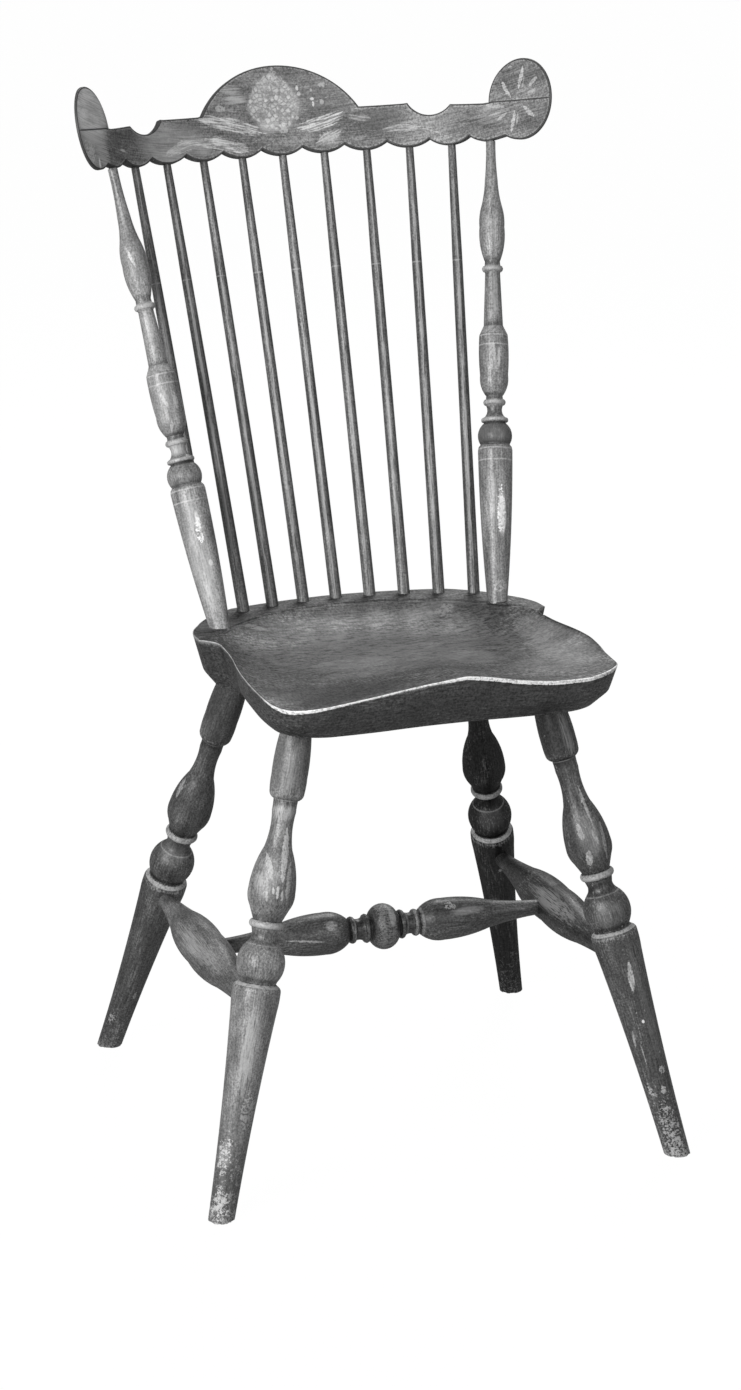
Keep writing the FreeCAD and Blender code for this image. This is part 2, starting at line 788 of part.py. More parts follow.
spindles = []
for number in range(1, 10):
    count = abs(number - 5)
    out = share(-1.0) if number < 5 else share(1.0)
    width = named("spindle_foot_pitch") * count * (share(1.0) - named("spindle_foot_gather_share") * count)
    foot = seat_point(width * out, named("spindle_foot_depth") - width * width * named("spindle_foot_curve_share"),
                      named("seat_thickness"))
    top = crest_socket(count, out)
    spindles.append(turned_piece(f"spindle_{number}", spindle_rows(distance(foot, top)), foot, top))


def post_rows(reach, shift):
    """Profile of a back post from the tenon in the seat to the tenon in the crest."""
    rows = running([
        (-named("post_tenon_length"), named("post_tenon_radius"), None),
        (named("post_tenon_length"), named("post_foot_radius"), share(0.01)),
        (named("post_taper_length") + shift, named("post_taper_radius"), None),
        (named("post_edge_length"), named("post_edge_radius"), None),
        (named("post_groove_length"), named("post_groove_radius"), share(0.2)),
        (named("post_ball_length"), named("post_ball_end_radius"), None),
        (named("post_disc_gap"), named("post_disc_radius"), share(0.1)),
        (named("post_disc_length"), named("post_disc_radius"), None),
        (named("post_disc_gap"), named("post_ball_end_radius"), share(-0.15)),
        (named("post_cove_length"), named("post_cove_radius"), None),
        (named("post_disc_gap"), named("post_ring_foot_radius"), share(0.44)),
        (named("post_ring_length"), named("post_ring_foot_radius"), None),
        (named("post_hollow_length"), named("post_hollow_radius"), share(0.1)),
        (named("post_barrel_rise_length"), named("post_barrel_rise_radius"), share(0.02)),
        (named("post_barrel_length"), named("post_barrel_radius"), None),
        (named("post_bevel_length"), named("post_bevel_radius"), None),
        (named("post_neck_length"), named("post_neck_radius"), None),
        (named("post_disc_gap"), named("post_collar_foot_radius"), share(0.42)),
        (named("post_collar_length"), named("post_collar_foot_radius"), None),
        (named("post_vase_start_length"), named("post_neck_radius"), share(0.06)),
        (named("post_vase_rise_length"), named("post_vase_radius"), share(0.04)),
        (named("post_vase_turn_length"), named("post_vase_turn_radius"), share(-0.03)),
        (named("post_vase_fall_length"), named("post_vase_fall_radius"), share(-0.015)),
    ])
    rows.append((reach, named("post_top_radius"), None))
    rows.append((reach, named("post_top_tenon_radius"), None))
    rows.append((reach + named("post_top_tenon_length"), named("post_top_tenon_radius"), None))
    return rows


posts = []
for side, out in (("left", share(-1.0)), ("right", share(1.0))):
    foot = seat_point(named("post_foot_width") * out, named("post_foot_depth"), named("seat_thickness"))
    top = crest_socket(5, out)
    posts.append(turned_piece(f"{side}_post", post_rows(distance(foot, top), named(f"{side}_post_pattern_shift")),
                              foot, top))

# The crest rail
crest_blank = new_body("crest_blank")
band = new_sketch(crest_blank, "crest_plan", "XY_Plane")


def quarter_share(sweep):
    """Rise share of an arc from its sweep in degrees."""
    return tangent(sweep / 4) / 2


def straight_end(out, back):
    """Plan point at the end of the crest's straight end."""
    x, y = end_arc_point(end_angle, back)
    length = named("crest_straight_length")
    return ((x + cosine(end_angle) * length) * out, y - sine(end_angle) * length)


def band_corner(angle, back, out):
    """Plan corner of the bent board, on either side."""
    x, y = end_arc_point(angle, back)
    return (x * out, y)


front = -thickness * 0.5
back = thickness * 0.5
one = share(1.0)
sweep_end = quarter_share(end_angle - centre_angle)
sweep_middle = quarter_share(centre_angle * 2)
outline(band, [
    (*straight_end(-one, back), None),
    (*band_corner(end_angle, back, -one), -sweep_end),
    (*band_corner(centre_angle, back, -one), -sweep_middle),
    (*band_corner(centre_angle, back, one), -sweep_end),
    (*band_corner(end_angle, back, one), None),
    (*straight_end(one, back), None),
    (*straight_end(one, front), None),
    (*band_corner(end_angle, front, one), sweep_end),
    (*band_corner(centre_angle, front, one), sweep_middle),
    (*band_corner(centre_angle, front, -one), sweep_end),
    (*band_corner(end_angle, front, -one), None),
    (*straight_end(-one, front), None),
])
low = -named("crest_blank_low")
high = named("crest_blank_high")
cutter_low = low * named("crest_cutter_share")
cutter_high = high * named("crest_cutter_share")
bind(band, "AttachmentOffset.Base.z", low)
doc.recompute()
bent_board = crest_blank.newObject("PartDesign::Pad", "bent_board")
bent_board.Profile = band
bind(bent_board, "Length", high - low)
crest_blank.Tip = bent_board
doc.recompute()

# The middle zone, cut from the front: the arch, the flats and the scallops
zone_run = pitch * 3
zone_width = crest_plan(zone_run, ZERO)[0]
middle_zone = new_sketch(crest_blank, "crest_middle_zone", "XZ_Plane")
arch = named("crest_arch_share")
arch_foot = named("crest_arch_foot_share")
outline(middle_zone, [
    (-zone_width, named("crest_flat_height"), None),
    (-named("crest_arch_foot_width"), named("crest_arch_foot_height"), arch_foot),
    (-named("crest_arch_width"), named("crest_arch_spring"), -arch),
    (named("crest_arch_width"), named("crest_arch_spring"), arch_foot),
    (named("crest_arch_foot_width"), named("crest_arch_foot_height"), None),
    (zone_width, named("crest_flat_height"), None),
    (zone_width, cutter_high, None),
    (-zone_width, cutter_high, None),
])


def cusp(half_pitches, out):
    """A cusp between two lobes of the middle zone."""
    run = pitch * half_pitches * 0.5
    return (crest_plan(run, ZERO)[0] * out, lobe_level(run) + named("crest_scallop_depth"))


scallop = named("crest_scallop_share")
half_scallop = named("crest_half_scallop_share")
outline(middle_zone, [
    (-zone_width, lobe_level(zone_run), half_scallop),
    (*cusp(5, -one), scallop),
    (*cusp(3, -one), scallop),
    (*cusp(1, -one), scallop),
    (*cusp(1, one), scallop),
    (*cusp(3, one), scallop),
    (*cusp(5, one), half_scallop),
    (zone_width, lobe_level(zone_run), None),
    (zone_width, cutter_low, None),
    (-zone_width, cutter_low, None),
])
doc.recompute()
middle_cut = crest_blank.newObject("PartDesign::Pocket", "crest_middle_cut")
middle_cut.Profile = middle_zone
middle_cut.Type = "ThroughAll"
middle_cut.Midplane = True
crest_blank.Tip = middle_cut
doc.recompute()

# The end zones, cut square to the middle of each end arc: the cove and two more scallops
zone_angle = named("crest_zone_angle")


def across(run):
    """Distance across an end zone from the direction of its cut."""
    angle = centre_angle + (run - centre_run) / end_radius * TURN
    return sine(angle - zone_angle) * end_radius


hub = centre_radius - end_radius
hub_x = sine(centre_angle) * hub
hub_y = cosine(centre_angle) * hub - centre_radius
end_zone = new_sketch(crest_blank, "crest_end_zone", "XZ_Plane")
place(end_zone, (hub_x, ZERO, -hub_y), (ZERO, one, ZERO), -zone_angle, "AttachmentOffset")
overlap = named("crest_zone_overlap")
cove_start = across(zone_run + named("crest_cove_start"))
cove_end = cove_start + named("crest_cove_length")
ear_turn = cosine(end_angle - zone_angle)
ear_joint = sine(end_angle - zone_angle) * end_radius
ear_start = ear_joint + (named("ear_centre_length") - named("ear_radius")) * ear_turn
zone_end = ear_joint + named("crest_zone_reach")
grain_fall = tangent(named("crest_grain_fall_angle"))
zone_end_height = named("crest_ear_flat_height") - (zone_end - ear_start) / ear_turn * grain_fall
outline(end_zone, [
    (across(zone_run) - overlap, named("crest_flat_height"), None),
    (cove_start, named("crest_flat_height"), named("crest_cove_share")),
    (cove_end, named("crest_cove_end_height"), None),
    (across(pitch * 5), named("crest_ear_flat_height"), None),
    (ear_start, named("crest_ear_flat_height"), None),
    (zone_end, zone_end_height, None),
    (zone_end, cutter_high, None),
    (across(zone_run) - overlap, cutter_high, None),
])
outline(end_zone, [
    (across(zone_run) - overlap, lobe_level(zone_run), None),
    (across(zone_run), lobe_level(zone_run), half_scallop),
    (across(pitch * 3.5), lobe_level(pitch * 3.5) + named("crest_scallop_depth"), scallop),
    (across(pitch * 4.5), lobe_level(pitch * 4.5) + named("crest_scallop_depth"), half_scallop),
    (across(pitch * 5), lobe_level(pitch * 5), None),
    (zone_end, lobe_level(pitch * 5), None),
    (zone_end, cutter_low, None),
    (across(zone_run) - overlap, cutter_low, None),
])
doc.recompute()
end_cut = crest_blank.newObject("PartDesign::Pocket", "crest_end_cut")
end_cut.Profile = end_zone
bind(end_cut, "Length", end_radius + thickness * 2)
crest_blank.Tip = end_cut
doc.recompute()


def ear_frame(sketch):
    """Set a sketch on the plane of the right ear, its origin where the crest's straight end begins."""
    x, y = end_arc_point(end_angle, ZERO)
    place(sketch, (x, ZERO, -y), (ZERO, one, ZERO), -end_angle, "AttachmentOffset")


def ear_rows(upper, out=one):
    """The part of an ear's disc above or below the glue line, which falls along the grain."""
    fall = named("crest_grain_fall_angle")
    line = named("crest_ear_flat_height") - named("ear_radius") * tangent(fall)
    rise = (line - named("ear_centre_height")) * cosine(fall)
    half = root(named("ear_radius") * named("ear_radius") - rise * rise)
    middle_length = named("ear_centre_length") + rise * sine(fall)
    middle_height = named("ear_centre_height") + rise * cosine(fall)
    inner = ((middle_length - half * cosine(fall)) * out, middle_height + half * sine(fall))
    outer = ((middle_length + half * cosine(fall)) * out, middle_height - half * sine(fall))
    first, last = (inner, outer) if (out.value > 0) == upper else (outer, inner)
    arc_rise = named("ear_radius") - rise if upper else named("ear_radius") + rise
    return [(*first, None), (*last, arc_rise / (half * 2))]


ear_section = new_sketch(crest_blank, "lower_ear_outline", "XZ_Plane")
ear_frame(ear_section)
outline(ear_section, ear_rows(False))
doc.recompute()
lower_ear = crest_blank.newObject("PartDesign::Pad", "lower_ear")
lower_ear.Profile = ear_section
lower_ear.Midplane = True
bind(lower_ear, "Length", thickness)
crest_blank.Tip = lower_ear
doc.recompute()
other_side = crest_blank.newObject("PartDesign::Mirrored", "crest_other_side")
other_side.Originals = [end_cut, lower_ear]
other_side.MirrorPlane = (band, ["V_Axis"])
crest_blank.Tip = other_side
crest_leaning = placement_text(crest_point(ZERO, ZERO, ZERO), (one, ZERO, ZERO), -lean)
crest_rolling = placement_text((ZERO, ZERO, ZERO), (ZERO, one, ZERO), -roll)
crest_placement = f"{crest_leaning} * {crest_rolling}"
crest_blank.setExpression("Placement", crest_placement)
doc.recompute()

ear_caps = []
for side in ("left", "right"):
    ear = new_body(f"{side}_ear_cap")
    section = new_sketch(ear, f"{side}_ear_cap_outline", "XZ_Plane")
    if side == "right":
        ear_frame(section)
        outline(section, ear_rows(True))
    else:
        x, y = end_arc_point(end_angle, ZERO)
        place(section, (-x, ZERO, -y), (ZERO, one, ZERO), end_angle, "AttachmentOffset")
        outline(section, ear_rows(True, -one))
    doc.recompute()
    pad = ear.newObject("PartDesign::Pad", f"{side}_ear_cap_pad")
    pad.Profile = section
    pad.Midplane = True
    bind(pad, "Length", thickness)
    ear.Tip = pad
    ear.setExpression("Placement", crest_placement)
    ear_caps.append(ear)
    doc.recompute()

# The joints in the seat and the crest
saddled_seat = cut("saddled_seat", seat_plank, saddle)
carved_seat = cut("carved_seat", saddled_seat, gutter)
seat_tenons = join("seat_tenons", [*leg_turnings.values(), *posts, *spindles])
cut("seat", carved_seat, seat_tenons)
crest_fittings = join("crest_fittings", [*posts, *spindles, *ear_caps])
cut("crest_rail", crest_blank, crest_fittings)
doc.recompute()

NODES = ["seat", *LEGS, "left_side_stretcher", "right_side_stretcher", "medial_stretcher", "left_post", "right_post",
         *[f"spindle_{number}" for number in range(1, 10)], "crest_rail", "left_ear_cap", "right_ear_cap"]

for item in doc.Objects:
    if "Invalid" in item.State or "Error" in item.State:
        raise RuntimeError(f"{item.Name} did not build: {item.State}")
os.makedirs("parts", exist_ok=True)
for node in NODES:
    shape = doc.getObject(node).Shape
    if shape.isNull() or not shape.isValid():
        raise RuntimeError(f"{node} has no valid shape")
    shape.exportStep(os.path.join("parts", f"{node}.step"))
    print(node, len(shape.Solids), round(shape.Volume))
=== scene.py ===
"""Fan-back side chair with a carved saddle seat, in worn dark paint with stenciled fruit and leaves.

Every mesh is made in millimetres in the frame of its own piece and then put in place in metres, in the
frame of the CAD model: +Z up, the front of the seat toward -Y, the origin on the floor.
"""
import logging
import math
from bisect import bisect_right
from dataclasses import dataclass, field
from enum import Enum
from typing import Callable, Iterable, Sequence

import bmesh
import bpy
from mathutils import Matrix, Vector, noise


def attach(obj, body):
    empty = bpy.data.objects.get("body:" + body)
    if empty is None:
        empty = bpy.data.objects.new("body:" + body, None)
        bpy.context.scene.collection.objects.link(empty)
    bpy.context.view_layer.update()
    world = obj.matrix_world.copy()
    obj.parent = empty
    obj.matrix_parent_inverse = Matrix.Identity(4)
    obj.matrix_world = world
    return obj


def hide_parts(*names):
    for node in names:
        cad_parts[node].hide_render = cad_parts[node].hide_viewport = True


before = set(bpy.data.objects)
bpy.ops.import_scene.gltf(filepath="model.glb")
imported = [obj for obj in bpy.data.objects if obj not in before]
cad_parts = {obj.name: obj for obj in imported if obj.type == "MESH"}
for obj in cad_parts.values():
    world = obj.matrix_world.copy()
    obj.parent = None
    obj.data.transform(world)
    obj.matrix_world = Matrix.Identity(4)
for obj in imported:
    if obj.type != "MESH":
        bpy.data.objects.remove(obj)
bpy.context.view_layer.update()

log = logging.getLogger("side_chair")
MM = 0.001
# The seat plank's own frame in the chair's: how far it lies to the front, its tilt and its height
MIDDLE = 36.6
TILT = math.radians(2.2)
SEAT_HEIGHT = 416.2
SEAT_THICKNESS = 47.0
# The old varnish over the paint, and the full height of the paint's relief in metres
COAT_ROUGHNESS = 0.42
COAT_INDEX = 2.2
RELIEF_DEPTH = 0.00012
# The way from the chair to the photograph's viewer, which the marks on turned pieces are counted from
SHOW_SIDE = Vector((-0.296, -0.913, 0.28))
# Lengths round a point of a turning whose mean radius is its surroundings
NEARBY = (-9.0, -6.0, -3.5, -1.5, 1.5, 3.5, 6.0, 9.0)

# A corner with the rise share of the arc to the next, a point in a plane, and a point of the seat's
# section with its distance to the top edge and its exposure
Row = tuple[float, float, float | None]
Point = tuple[float, float]
Spot = tuple[Vector, float, float]


class Slot(Enum):
    """Names of material slots."""

    SEAT = "seat_paint"
    LEG = "leg_paint"
    STRETCHER = "stretcher_paint"
    POST = "post_paint"
    SPINDLE = "spindle_paint"
    CREST = "crest_paint"


class Side(Enum):
    """Which side of the chair, as the viewer in front of it sees it."""

    LEFT = -1.0
    RIGHT = 1.0


# Outlines and profiles

def arc_points(start: Point, finish: Point, share: float | None, step: float) -> list[Point]:
    """Points from start up to, but without, finish.

    Args:
        start: First point.
        finish: Last point.
        share: Rise of the arc over its chord, to the right of the way when positive; None for a line.
        step: Largest distance between neighbours.

    Returns:
        The points, start first.
    """
    way = (finish[0] - start[0], finish[1] - start[1])
    chord = math.hypot(*way)
    count = max(1, math.ceil(chord / step))
    if not share:
        return [(start[0] + way[0] * i / count, start[1] + way[1] * i / count) for i in range(count)]
    rise = abs(share) * chord
    radius = (rise * rise + chord * chord / 4.0) / (2.0 * rise)
    half = math.asin(min(1.0, chord / 2.0 / radius))
    if rise > radius:
        half = math.pi - half
    count = max(3, math.ceil(2.0 * half * radius / step))
    unit = (way[0] / chord, way[1] / chord)
    side = (unit[1], -unit[0]) if share > 0 else (-unit[1], unit[0])
    points = []
    for i in range(count):
        angle = -half + 2.0 * half * i / count
        run = math.sin(angle) * radius + chord / 2.0
        lift = math.cos(angle) * radius - (radius - rise)
        points.append((start[0] + unit[0] * run + side[0] * lift, start[1] + unit[1] * run + side[1] * lift))
    return points


def open_outline(rows: Sequence[Row], step: float, slack: float = 1.0) -> list[Point]:
    """Points along corners joined by lines and arcs.

    Args:
        rows: x, y and rise share of the way to the next corner.
        step: Largest distance between neighbours.
        slack: How many times larger that distance is on straight lines.

    Returns:
        The points in order, without the last corner.
    """
    points: list[Point] = []
    for row, after in zip(rows, rows[1:]):
        points += arc_points(row[:2], after[:2], row[2], step if row[2] else step * slack)
    return points


def running(steps: Iterable[Row]) -> list[Row]:
    """Add up the steps of a profile.

    Args:
        steps: Rows of step, radius and share.

    Returns:
        Rows of running length, radius and share.
    """
    rows: list[Row] = []
    length = 0.0
    for step, radius, share in steps:
        length += step
        rows.append((length, radius, share))
    return rows


def smooth(low: float, high: float, at: float) -> float:
    """0 below low, 1 above high and a soft step between."""
    part = min(1.0, max(0.0, (at - low) / (high - low)))
    return part * part * (3.0 - 2.0 * part)


def seat_place(x: float, y: float, height: float) -> Vector:
    """A point of the seat plank's own frame, in the chair's frame, in millimetres."""
    return Vector((x, y * math.cos(TILT) + height * math.sin(TILT) - MIDDLE,
                   SEAT_HEIGHT - y * math.sin(TILT) + height * math.cos(TILT)))


# Meshes

def place_object(name: str, data: bpy.types.ID) -> bpy.types.Object:
    """Put a new object in the scene.

    Args:
        name: Its name.
        data: Its mesh, lamp or camera.

    Returns:
        The object.
    """
    made = bpy.data.objects.new(name, data)
    bpy.context.scene.collection.objects.link(made)
    return made


def finish_mesh(name: str, mesh: bmesh.types.BMesh, node: str, slot: Slot, material: bpy.types.Material,
                sharp: float = 40.0) -> bpy.types.Object:
    """Turn a bmesh in the chair's frame into a finished piece that stands for its CAD node.

    Args:
        name: Name of the piece.
        mesh: The bmesh, in metres; it is freed.
        node: The CAD node that the piece stands for.
        slot: A material slot's name; it is not used.
        material: The piece's finish.
        sharp: Angle in degrees above which an edge is shaded sharp.

    Returns:
        The new object.
    """
    data = bpy.data.meshes.new(name)
    for face in mesh.faces:
        face.smooth = True
    for edge in mesh.edges:
        edge.smooth = not (edge.is_manifold and edge.calc_face_angle(0.0) > math.radians(sharp))
    mesh.to_mesh(data)
    mesh.free()
    piece = place_object(name, data)
    data.materials.append(material)
    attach(piece, "root")
    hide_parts(node)
    log.info("%s: %d faces", name, len(data.polygons))
    return piece


def mark(mesh: bmesh.types.BMesh, exposure: Callable[[Vector], float]) -> None:
    """Write each vertex's own-frame place and how far its edge stands out.

    Args:
        mesh: The bmesh, still in millimetres in the piece's own frame.
        exposure: How exposed to rubbing a point is: 1 on an arris, -1 in a groove.
    """
    place = mesh.verts.layers.float_vector.new("place")
    worn = mesh.verts.layers.float.new("exposure")
    for vert in mesh.verts:
        vert[place] = vert.co
        vert[worn] = max(-1.0, min(1.0, exposure(vert.co)))


def cut(mesh: bmesh.types.BMesh, place: Sequence[float], normal: Sequence[float],
        clear: bool = False) -> None:
    """Cut a mesh along a plane; clear takes away the part on the normal's side."""
    bmesh.ops.bisect_plane(mesh, geom=mesh.verts[:] + mesh.edges[:] + mesh.faces[:], dist=1e-4,
                           plane_co=place, plane_no=normal, clear_outer=clear)


def soften(mesh: bmesh.types.BMesh, edges: list[bmesh.types.BMEdge], width: float, segments: int,
           clamp: bool) -> None:
    """Round edges over a width; clamp keeps the rounding from running past its neighbours."""
    bmesh.ops.bevel(mesh, geom=edges, offset=width, offset_type="OFFSET", affect="EDGES", segments=segments,
                    profile=0.5, material=-1, clamp_overlap=clamp)


@dataclass
class Turning:
    """A lathe-turned stick, made from its half profile.

    Rows give the length along the axis, the radius and the rise share of the arc to the next row.
    """

    name: str
    node: str
    start: Vector
    finish: Vector
    rows: list[Row]
    slot: Slot
    segments: int = 56
    step: float = 2.2
    arris: float = 0.35
    table: list[Point] = field(init=False, default_factory=list)

    def profile(self) -> list[Point]:
        """Work out the profile, and keep its table for radius_at.

        Returns:
            Points of radius and length, from axis to axis.
        """
        turned = [(radius, length, share) for length, radius, share in self.rows]
        self.table = open_outline(turned, self.step, 3.0) + [turned[-1][:2]]
        return [(0.0, self.rows[0][0]), *self.table, (0.0, self.rows[-1][0])]

    def radius_at(self, length: float) -> float:
        """Read the profile.

        Args:
            length: Where, along the axis.

        Returns:
            The radius there.
        """
        table = self.table
        if length <= table[0][1]:
            return table[0][0]
        high = bisect_right(table, length, 1, len(table) - 1, key=lambda point: point[1])
        (before, start), (after, end) = table[high - 1], table[high]
        part = min(1.0, (length - start) / (end - start)) if end - start > 1e-6 else 1.0
        return before + (after - before) * part

    def exposure(self, point: Vector) -> float:
        """How far the surface stands out from its surroundings along the stick."""
        mean = sum(self.radius_at(point.z + span) for span in NEARBY) / len(NEARBY)
        return (math.hypot(point.x, point.y) - mean) / 2.4

    def axes(self) -> Matrix:
        """Work out where the stick stands.

        Returns:
            The matrix from its own frame to the chair's frame, in millimetres.
        """
        along = (self.finish - self.start).normalized()
        front = (SHOW_SIDE - along * SHOW_SIDE.dot(along)).normalized()
        side = along.cross(front)
        matrix = Matrix((front, side, along)).transposed().to_4x4()
        matrix.translation = self.start
        return matrix

    def build(self, material: bpy.types.Material) -> bpy.types.Object:
        """Spin the profile, ease its arrises and put the stick in place.

        Args:
            material: The stick's finish.

        Returns:
            The finished piece.
        """
        mesh = bmesh.new()
        verts = [mesh.verts.new((radius, 0.0, length)) for radius, length in self.profile()]
        edges = [mesh.edges.new(pair) for pair in zip(verts, verts[1:])]
        bmesh.ops.spin(mesh, geom=verts + edges, cent=(0, 0, 0), axis=(0, 0, 1), dvec=(0, 0, 0),
                       angle=2.0 * math.pi, steps=self.segments, use_merge=True, use_duplicate=False)
        bmesh.ops.remove_doubles(mesh, verts=mesh.verts, dist=0.002)
        bmesh.ops.recalc_face_normals(mesh, faces=mesh.faces)
        rings = [edge for edge in mesh.edges
                 if edge.is_manifold and abs(edge.verts[0].co.z - edge.verts[1].co.z) < 1e-4
                 and edge.calc_face_angle(0.0) > math.radians(28.0) and edge.verts[0].co.xy.length > 2.0]
        if rings:
            soften(mesh, rings, self.arris, 2, True)
        mark(mesh, self.exposure)
        bmesh.ops.transform(mesh, matrix=self.axes(), verts=mesh.verts)
        self.trim(mesh)
        bmesh.ops.scale(mesh, vec=(MM, MM, MM), verts=mesh.verts)
        return finish_mesh(self.name, mesh, self.node, self.slot, material)

    def trim(self, mesh: bmesh.types.BMesh) -> None:
        """Cut the stick where something ends it; a plain stick is left whole."""


# Finishes

class Value:
    """One number over a surface, in a finish's node tree, with Python's operators for its maths."""

    def __init__(self, tree: "Shading", socket: bpy.types.NodeSocket) -> None:
        """Wrap an output socket of the tree."""
        self.tree = tree
        self.socket = socket

    def math(self, operation: str, *others: "Value | float") -> "Value":
        """Add a Math node whose first input is this value.

        Args:
            operation: The Math node's operation.
            others: Its other inputs.

        Returns:
            The node's output.
        """
        return self.tree.value("ShaderNodeMath", {"operation": operation}, dict(enumerate((self, *others))))

    def __add__(self, other: "Value | float") -> "Value":
        """Sum."""
        return self.math("ADD", other)

    __radd__ = __add__

    def __mul__(self, other: "Value | float") -> "Value":
        """Product."""
        return self.math("MULTIPLY", other)

    __rmul__ = __mul__

    def __sub__(self, other: "Value | float") -> "Value":
        """Difference."""
        return self.math("SUBTRACT", other)

    def __rsub__(self, other: float) -> "Value":
        """Difference from a number."""
        return (self * -1.0) + other

    def __truediv__(self, other: "Value | float") -> "Value":
        """Quotient."""
        return self.math("DIVIDE", other)

    def __pow__(self, other: float) -> "Value":
        """Power."""
        return self.math("POWER", other)

    def __abs__(self) -> "Value":
        """Size without its sign."""
        return self.math("ABSOLUTE")

    def high(self, other: "Value | float") -> "Value":
        """The greater of the two."""
        return self.math("MAXIMUM", other)

    def low(self, other: "Value | float") -> "Value":
        """The smaller of the two."""
        return self.math("MINIMUM", other)

    def ease(self, start: float, finish: float) -> "Value":
        """Step softly from 0 to 1.

        Args:
            start: Where it is still 0; it may be the greater of the two.
            finish: Where it is 1.

        Returns:
            The step.
        """
        if start > finish:
            return 1.0 - self.ease(finish, start)
        return self.tree.value("ShaderNodeMapRange", {"interpolation_type": "SMOOTHSTEP"},
                               {0: self, 1: start, 2: finish})

    def toward(self, other: "Value | float", part: "Value | float") -> "Value":
        """This value moved toward another by a part from 0 to 1."""
        return self + (self * -1.0 + other) * part


class Shading:
    """The node tree of one finish, or of the world."""

    def __init__(self, owner: bpy.types.Material | bpy.types.World) -> None:
        """Start with an empty tree.

        Args:
            owner: The material or world that the tree is of.
        """
        owner.use_nodes = True
        self.owner = owner
        self.nodes, self.links = owner.node_tree.nodes, owner.node_tree.links
        self.nodes.clear()

    def node(self, kind: str, settings: dict | None = None, inputs: dict | None = None) -> bpy.types.Node:
        """Add a node.

        Args:
            kind: The node's type.
            settings: Its properties, set first.
            inputs: Values, wrapped values or sockets for its inputs, by name or number.

        Returns:
            The new node.
        """
        made = self.nodes.new(kind)
        for key, setting in (settings or {}).items():
            setattr(made, key, setting)
        for key, given in (inputs or {}).items():
            if isinstance(given, Value):
                given = given.socket
            if isinstance(given, bpy.types.NodeSocket):
                self.links.new(given, made.inputs[key])
            else:
                made.inputs[key].default_value = given
        return made

    def value(self, kind: str, settings: dict | None = None, inputs: dict | None = None,
              output: int | str = 0) -> Value:
        """Add a node and take one of its outputs as a value."""
        return Value(self, self.node(kind, settings, inputs).outputs[output])

    def attribute(self, name: str) -> bpy.types.Node:
        """Read a mesh attribute."""
        return self.node("ShaderNodeAttribute", {"attribute_name": name})

    def stretched(self, place: bpy.types.NodeSocket, stretch: Sequence[float],
                  offset: float) -> bpy.types.NodeSocket:
        """Scale a place along its axes and move it away from the origin, so that pieces differ.

        Args:
            place: The place.
            stretch: The scale along each axis.
            offset: How far it is moved.

        Returns:
            The new place.
        """
        moved = (offset, offset * 1.7 + 3.0, offset * 0.6 - 5.0)
        return self.node("ShaderNodeVectorMath", {"operation": "MULTIPLY_ADD"},
                         {0: place, 1: tuple(stretch), 2: moved}).outputs[0]

    def noise(self, place: bpy.types.NodeSocket, scale: float, detail: float = 3.0, rough: float = 0.55,
              warp: float = 0.0) -> Value:
        """Soft noise from 0 to 1."""
        return self.value("ShaderNodeTexNoise", None, {"Vector": place, "Scale": scale, "Detail": detail,
                                                       "Roughness": rough, "Distortion": warp})

    def seen(self) -> Value:
        """Tell the rays to the camera, and those of reflections and glass, from the diffuse light's.

        Returns:
            1 for the first kinds, 0 for the last.
        """
        ray = self.node("ShaderNodeLightPath")
        camera, glossy, through = (Value(self, ray.outputs[f"Is {kind} Ray"])
                                   for kind in ("Camera", "Glossy", "Transmission"))
        return camera.high(glossy).high(through)

    def finish(self, tone: Value, roughness: Value, varnish: Value, relief: Value) -> bpy.types.Material:
        """Lead the tone, roughness, varnish and relief to the shader.

        Args:
            tone: 0 for black paint to 1 for white.
            roughness: Roughness from 0 to 1.
            varnish: How much of the old varnish is left, from 0 to 1.
            relief: Height of the surface's fine relief, from 0 to 1.

        Returns:
            The material.
        """
        colour = self.node("ShaderNodeMix", {"data_type": "RGBA", "clamp_factor": True},
                           {0: tone, 6: (0.0, 0.0, 0.0, 1.0), 7: (1.0, 1.0, 1.0, 1.0)})
        bump = self.node("ShaderNodeBump", None,
                         {"Strength": 1.0, "Distance": RELIEF_DEPTH, "Height": relief})
        shader = self.node("ShaderNodeBsdfPrincipled", None,
                           {"Base Color": colour.outputs[2], "Roughness": roughness,
                            "Normal": bump.outputs[0], "Specular IOR Level": 0.0, "Coat Weight": varnish,
                            "Coat Roughness": COAT_ROUGHNESS, "Coat IOR": COAT_INDEX})
        self.node("ShaderNodeOutputMaterial", None, {"Surface": shader.outputs[0]})
        return self.owner


@dataclass
class Ground:
    """What decoration builds on: a finish's nodes, the surface's own place and its textures."""

    tree: Shading
    x: Value
    y: Value
    z: Value
    cloud: Value
    fibre: Value
    speck: Value
    flake: Value


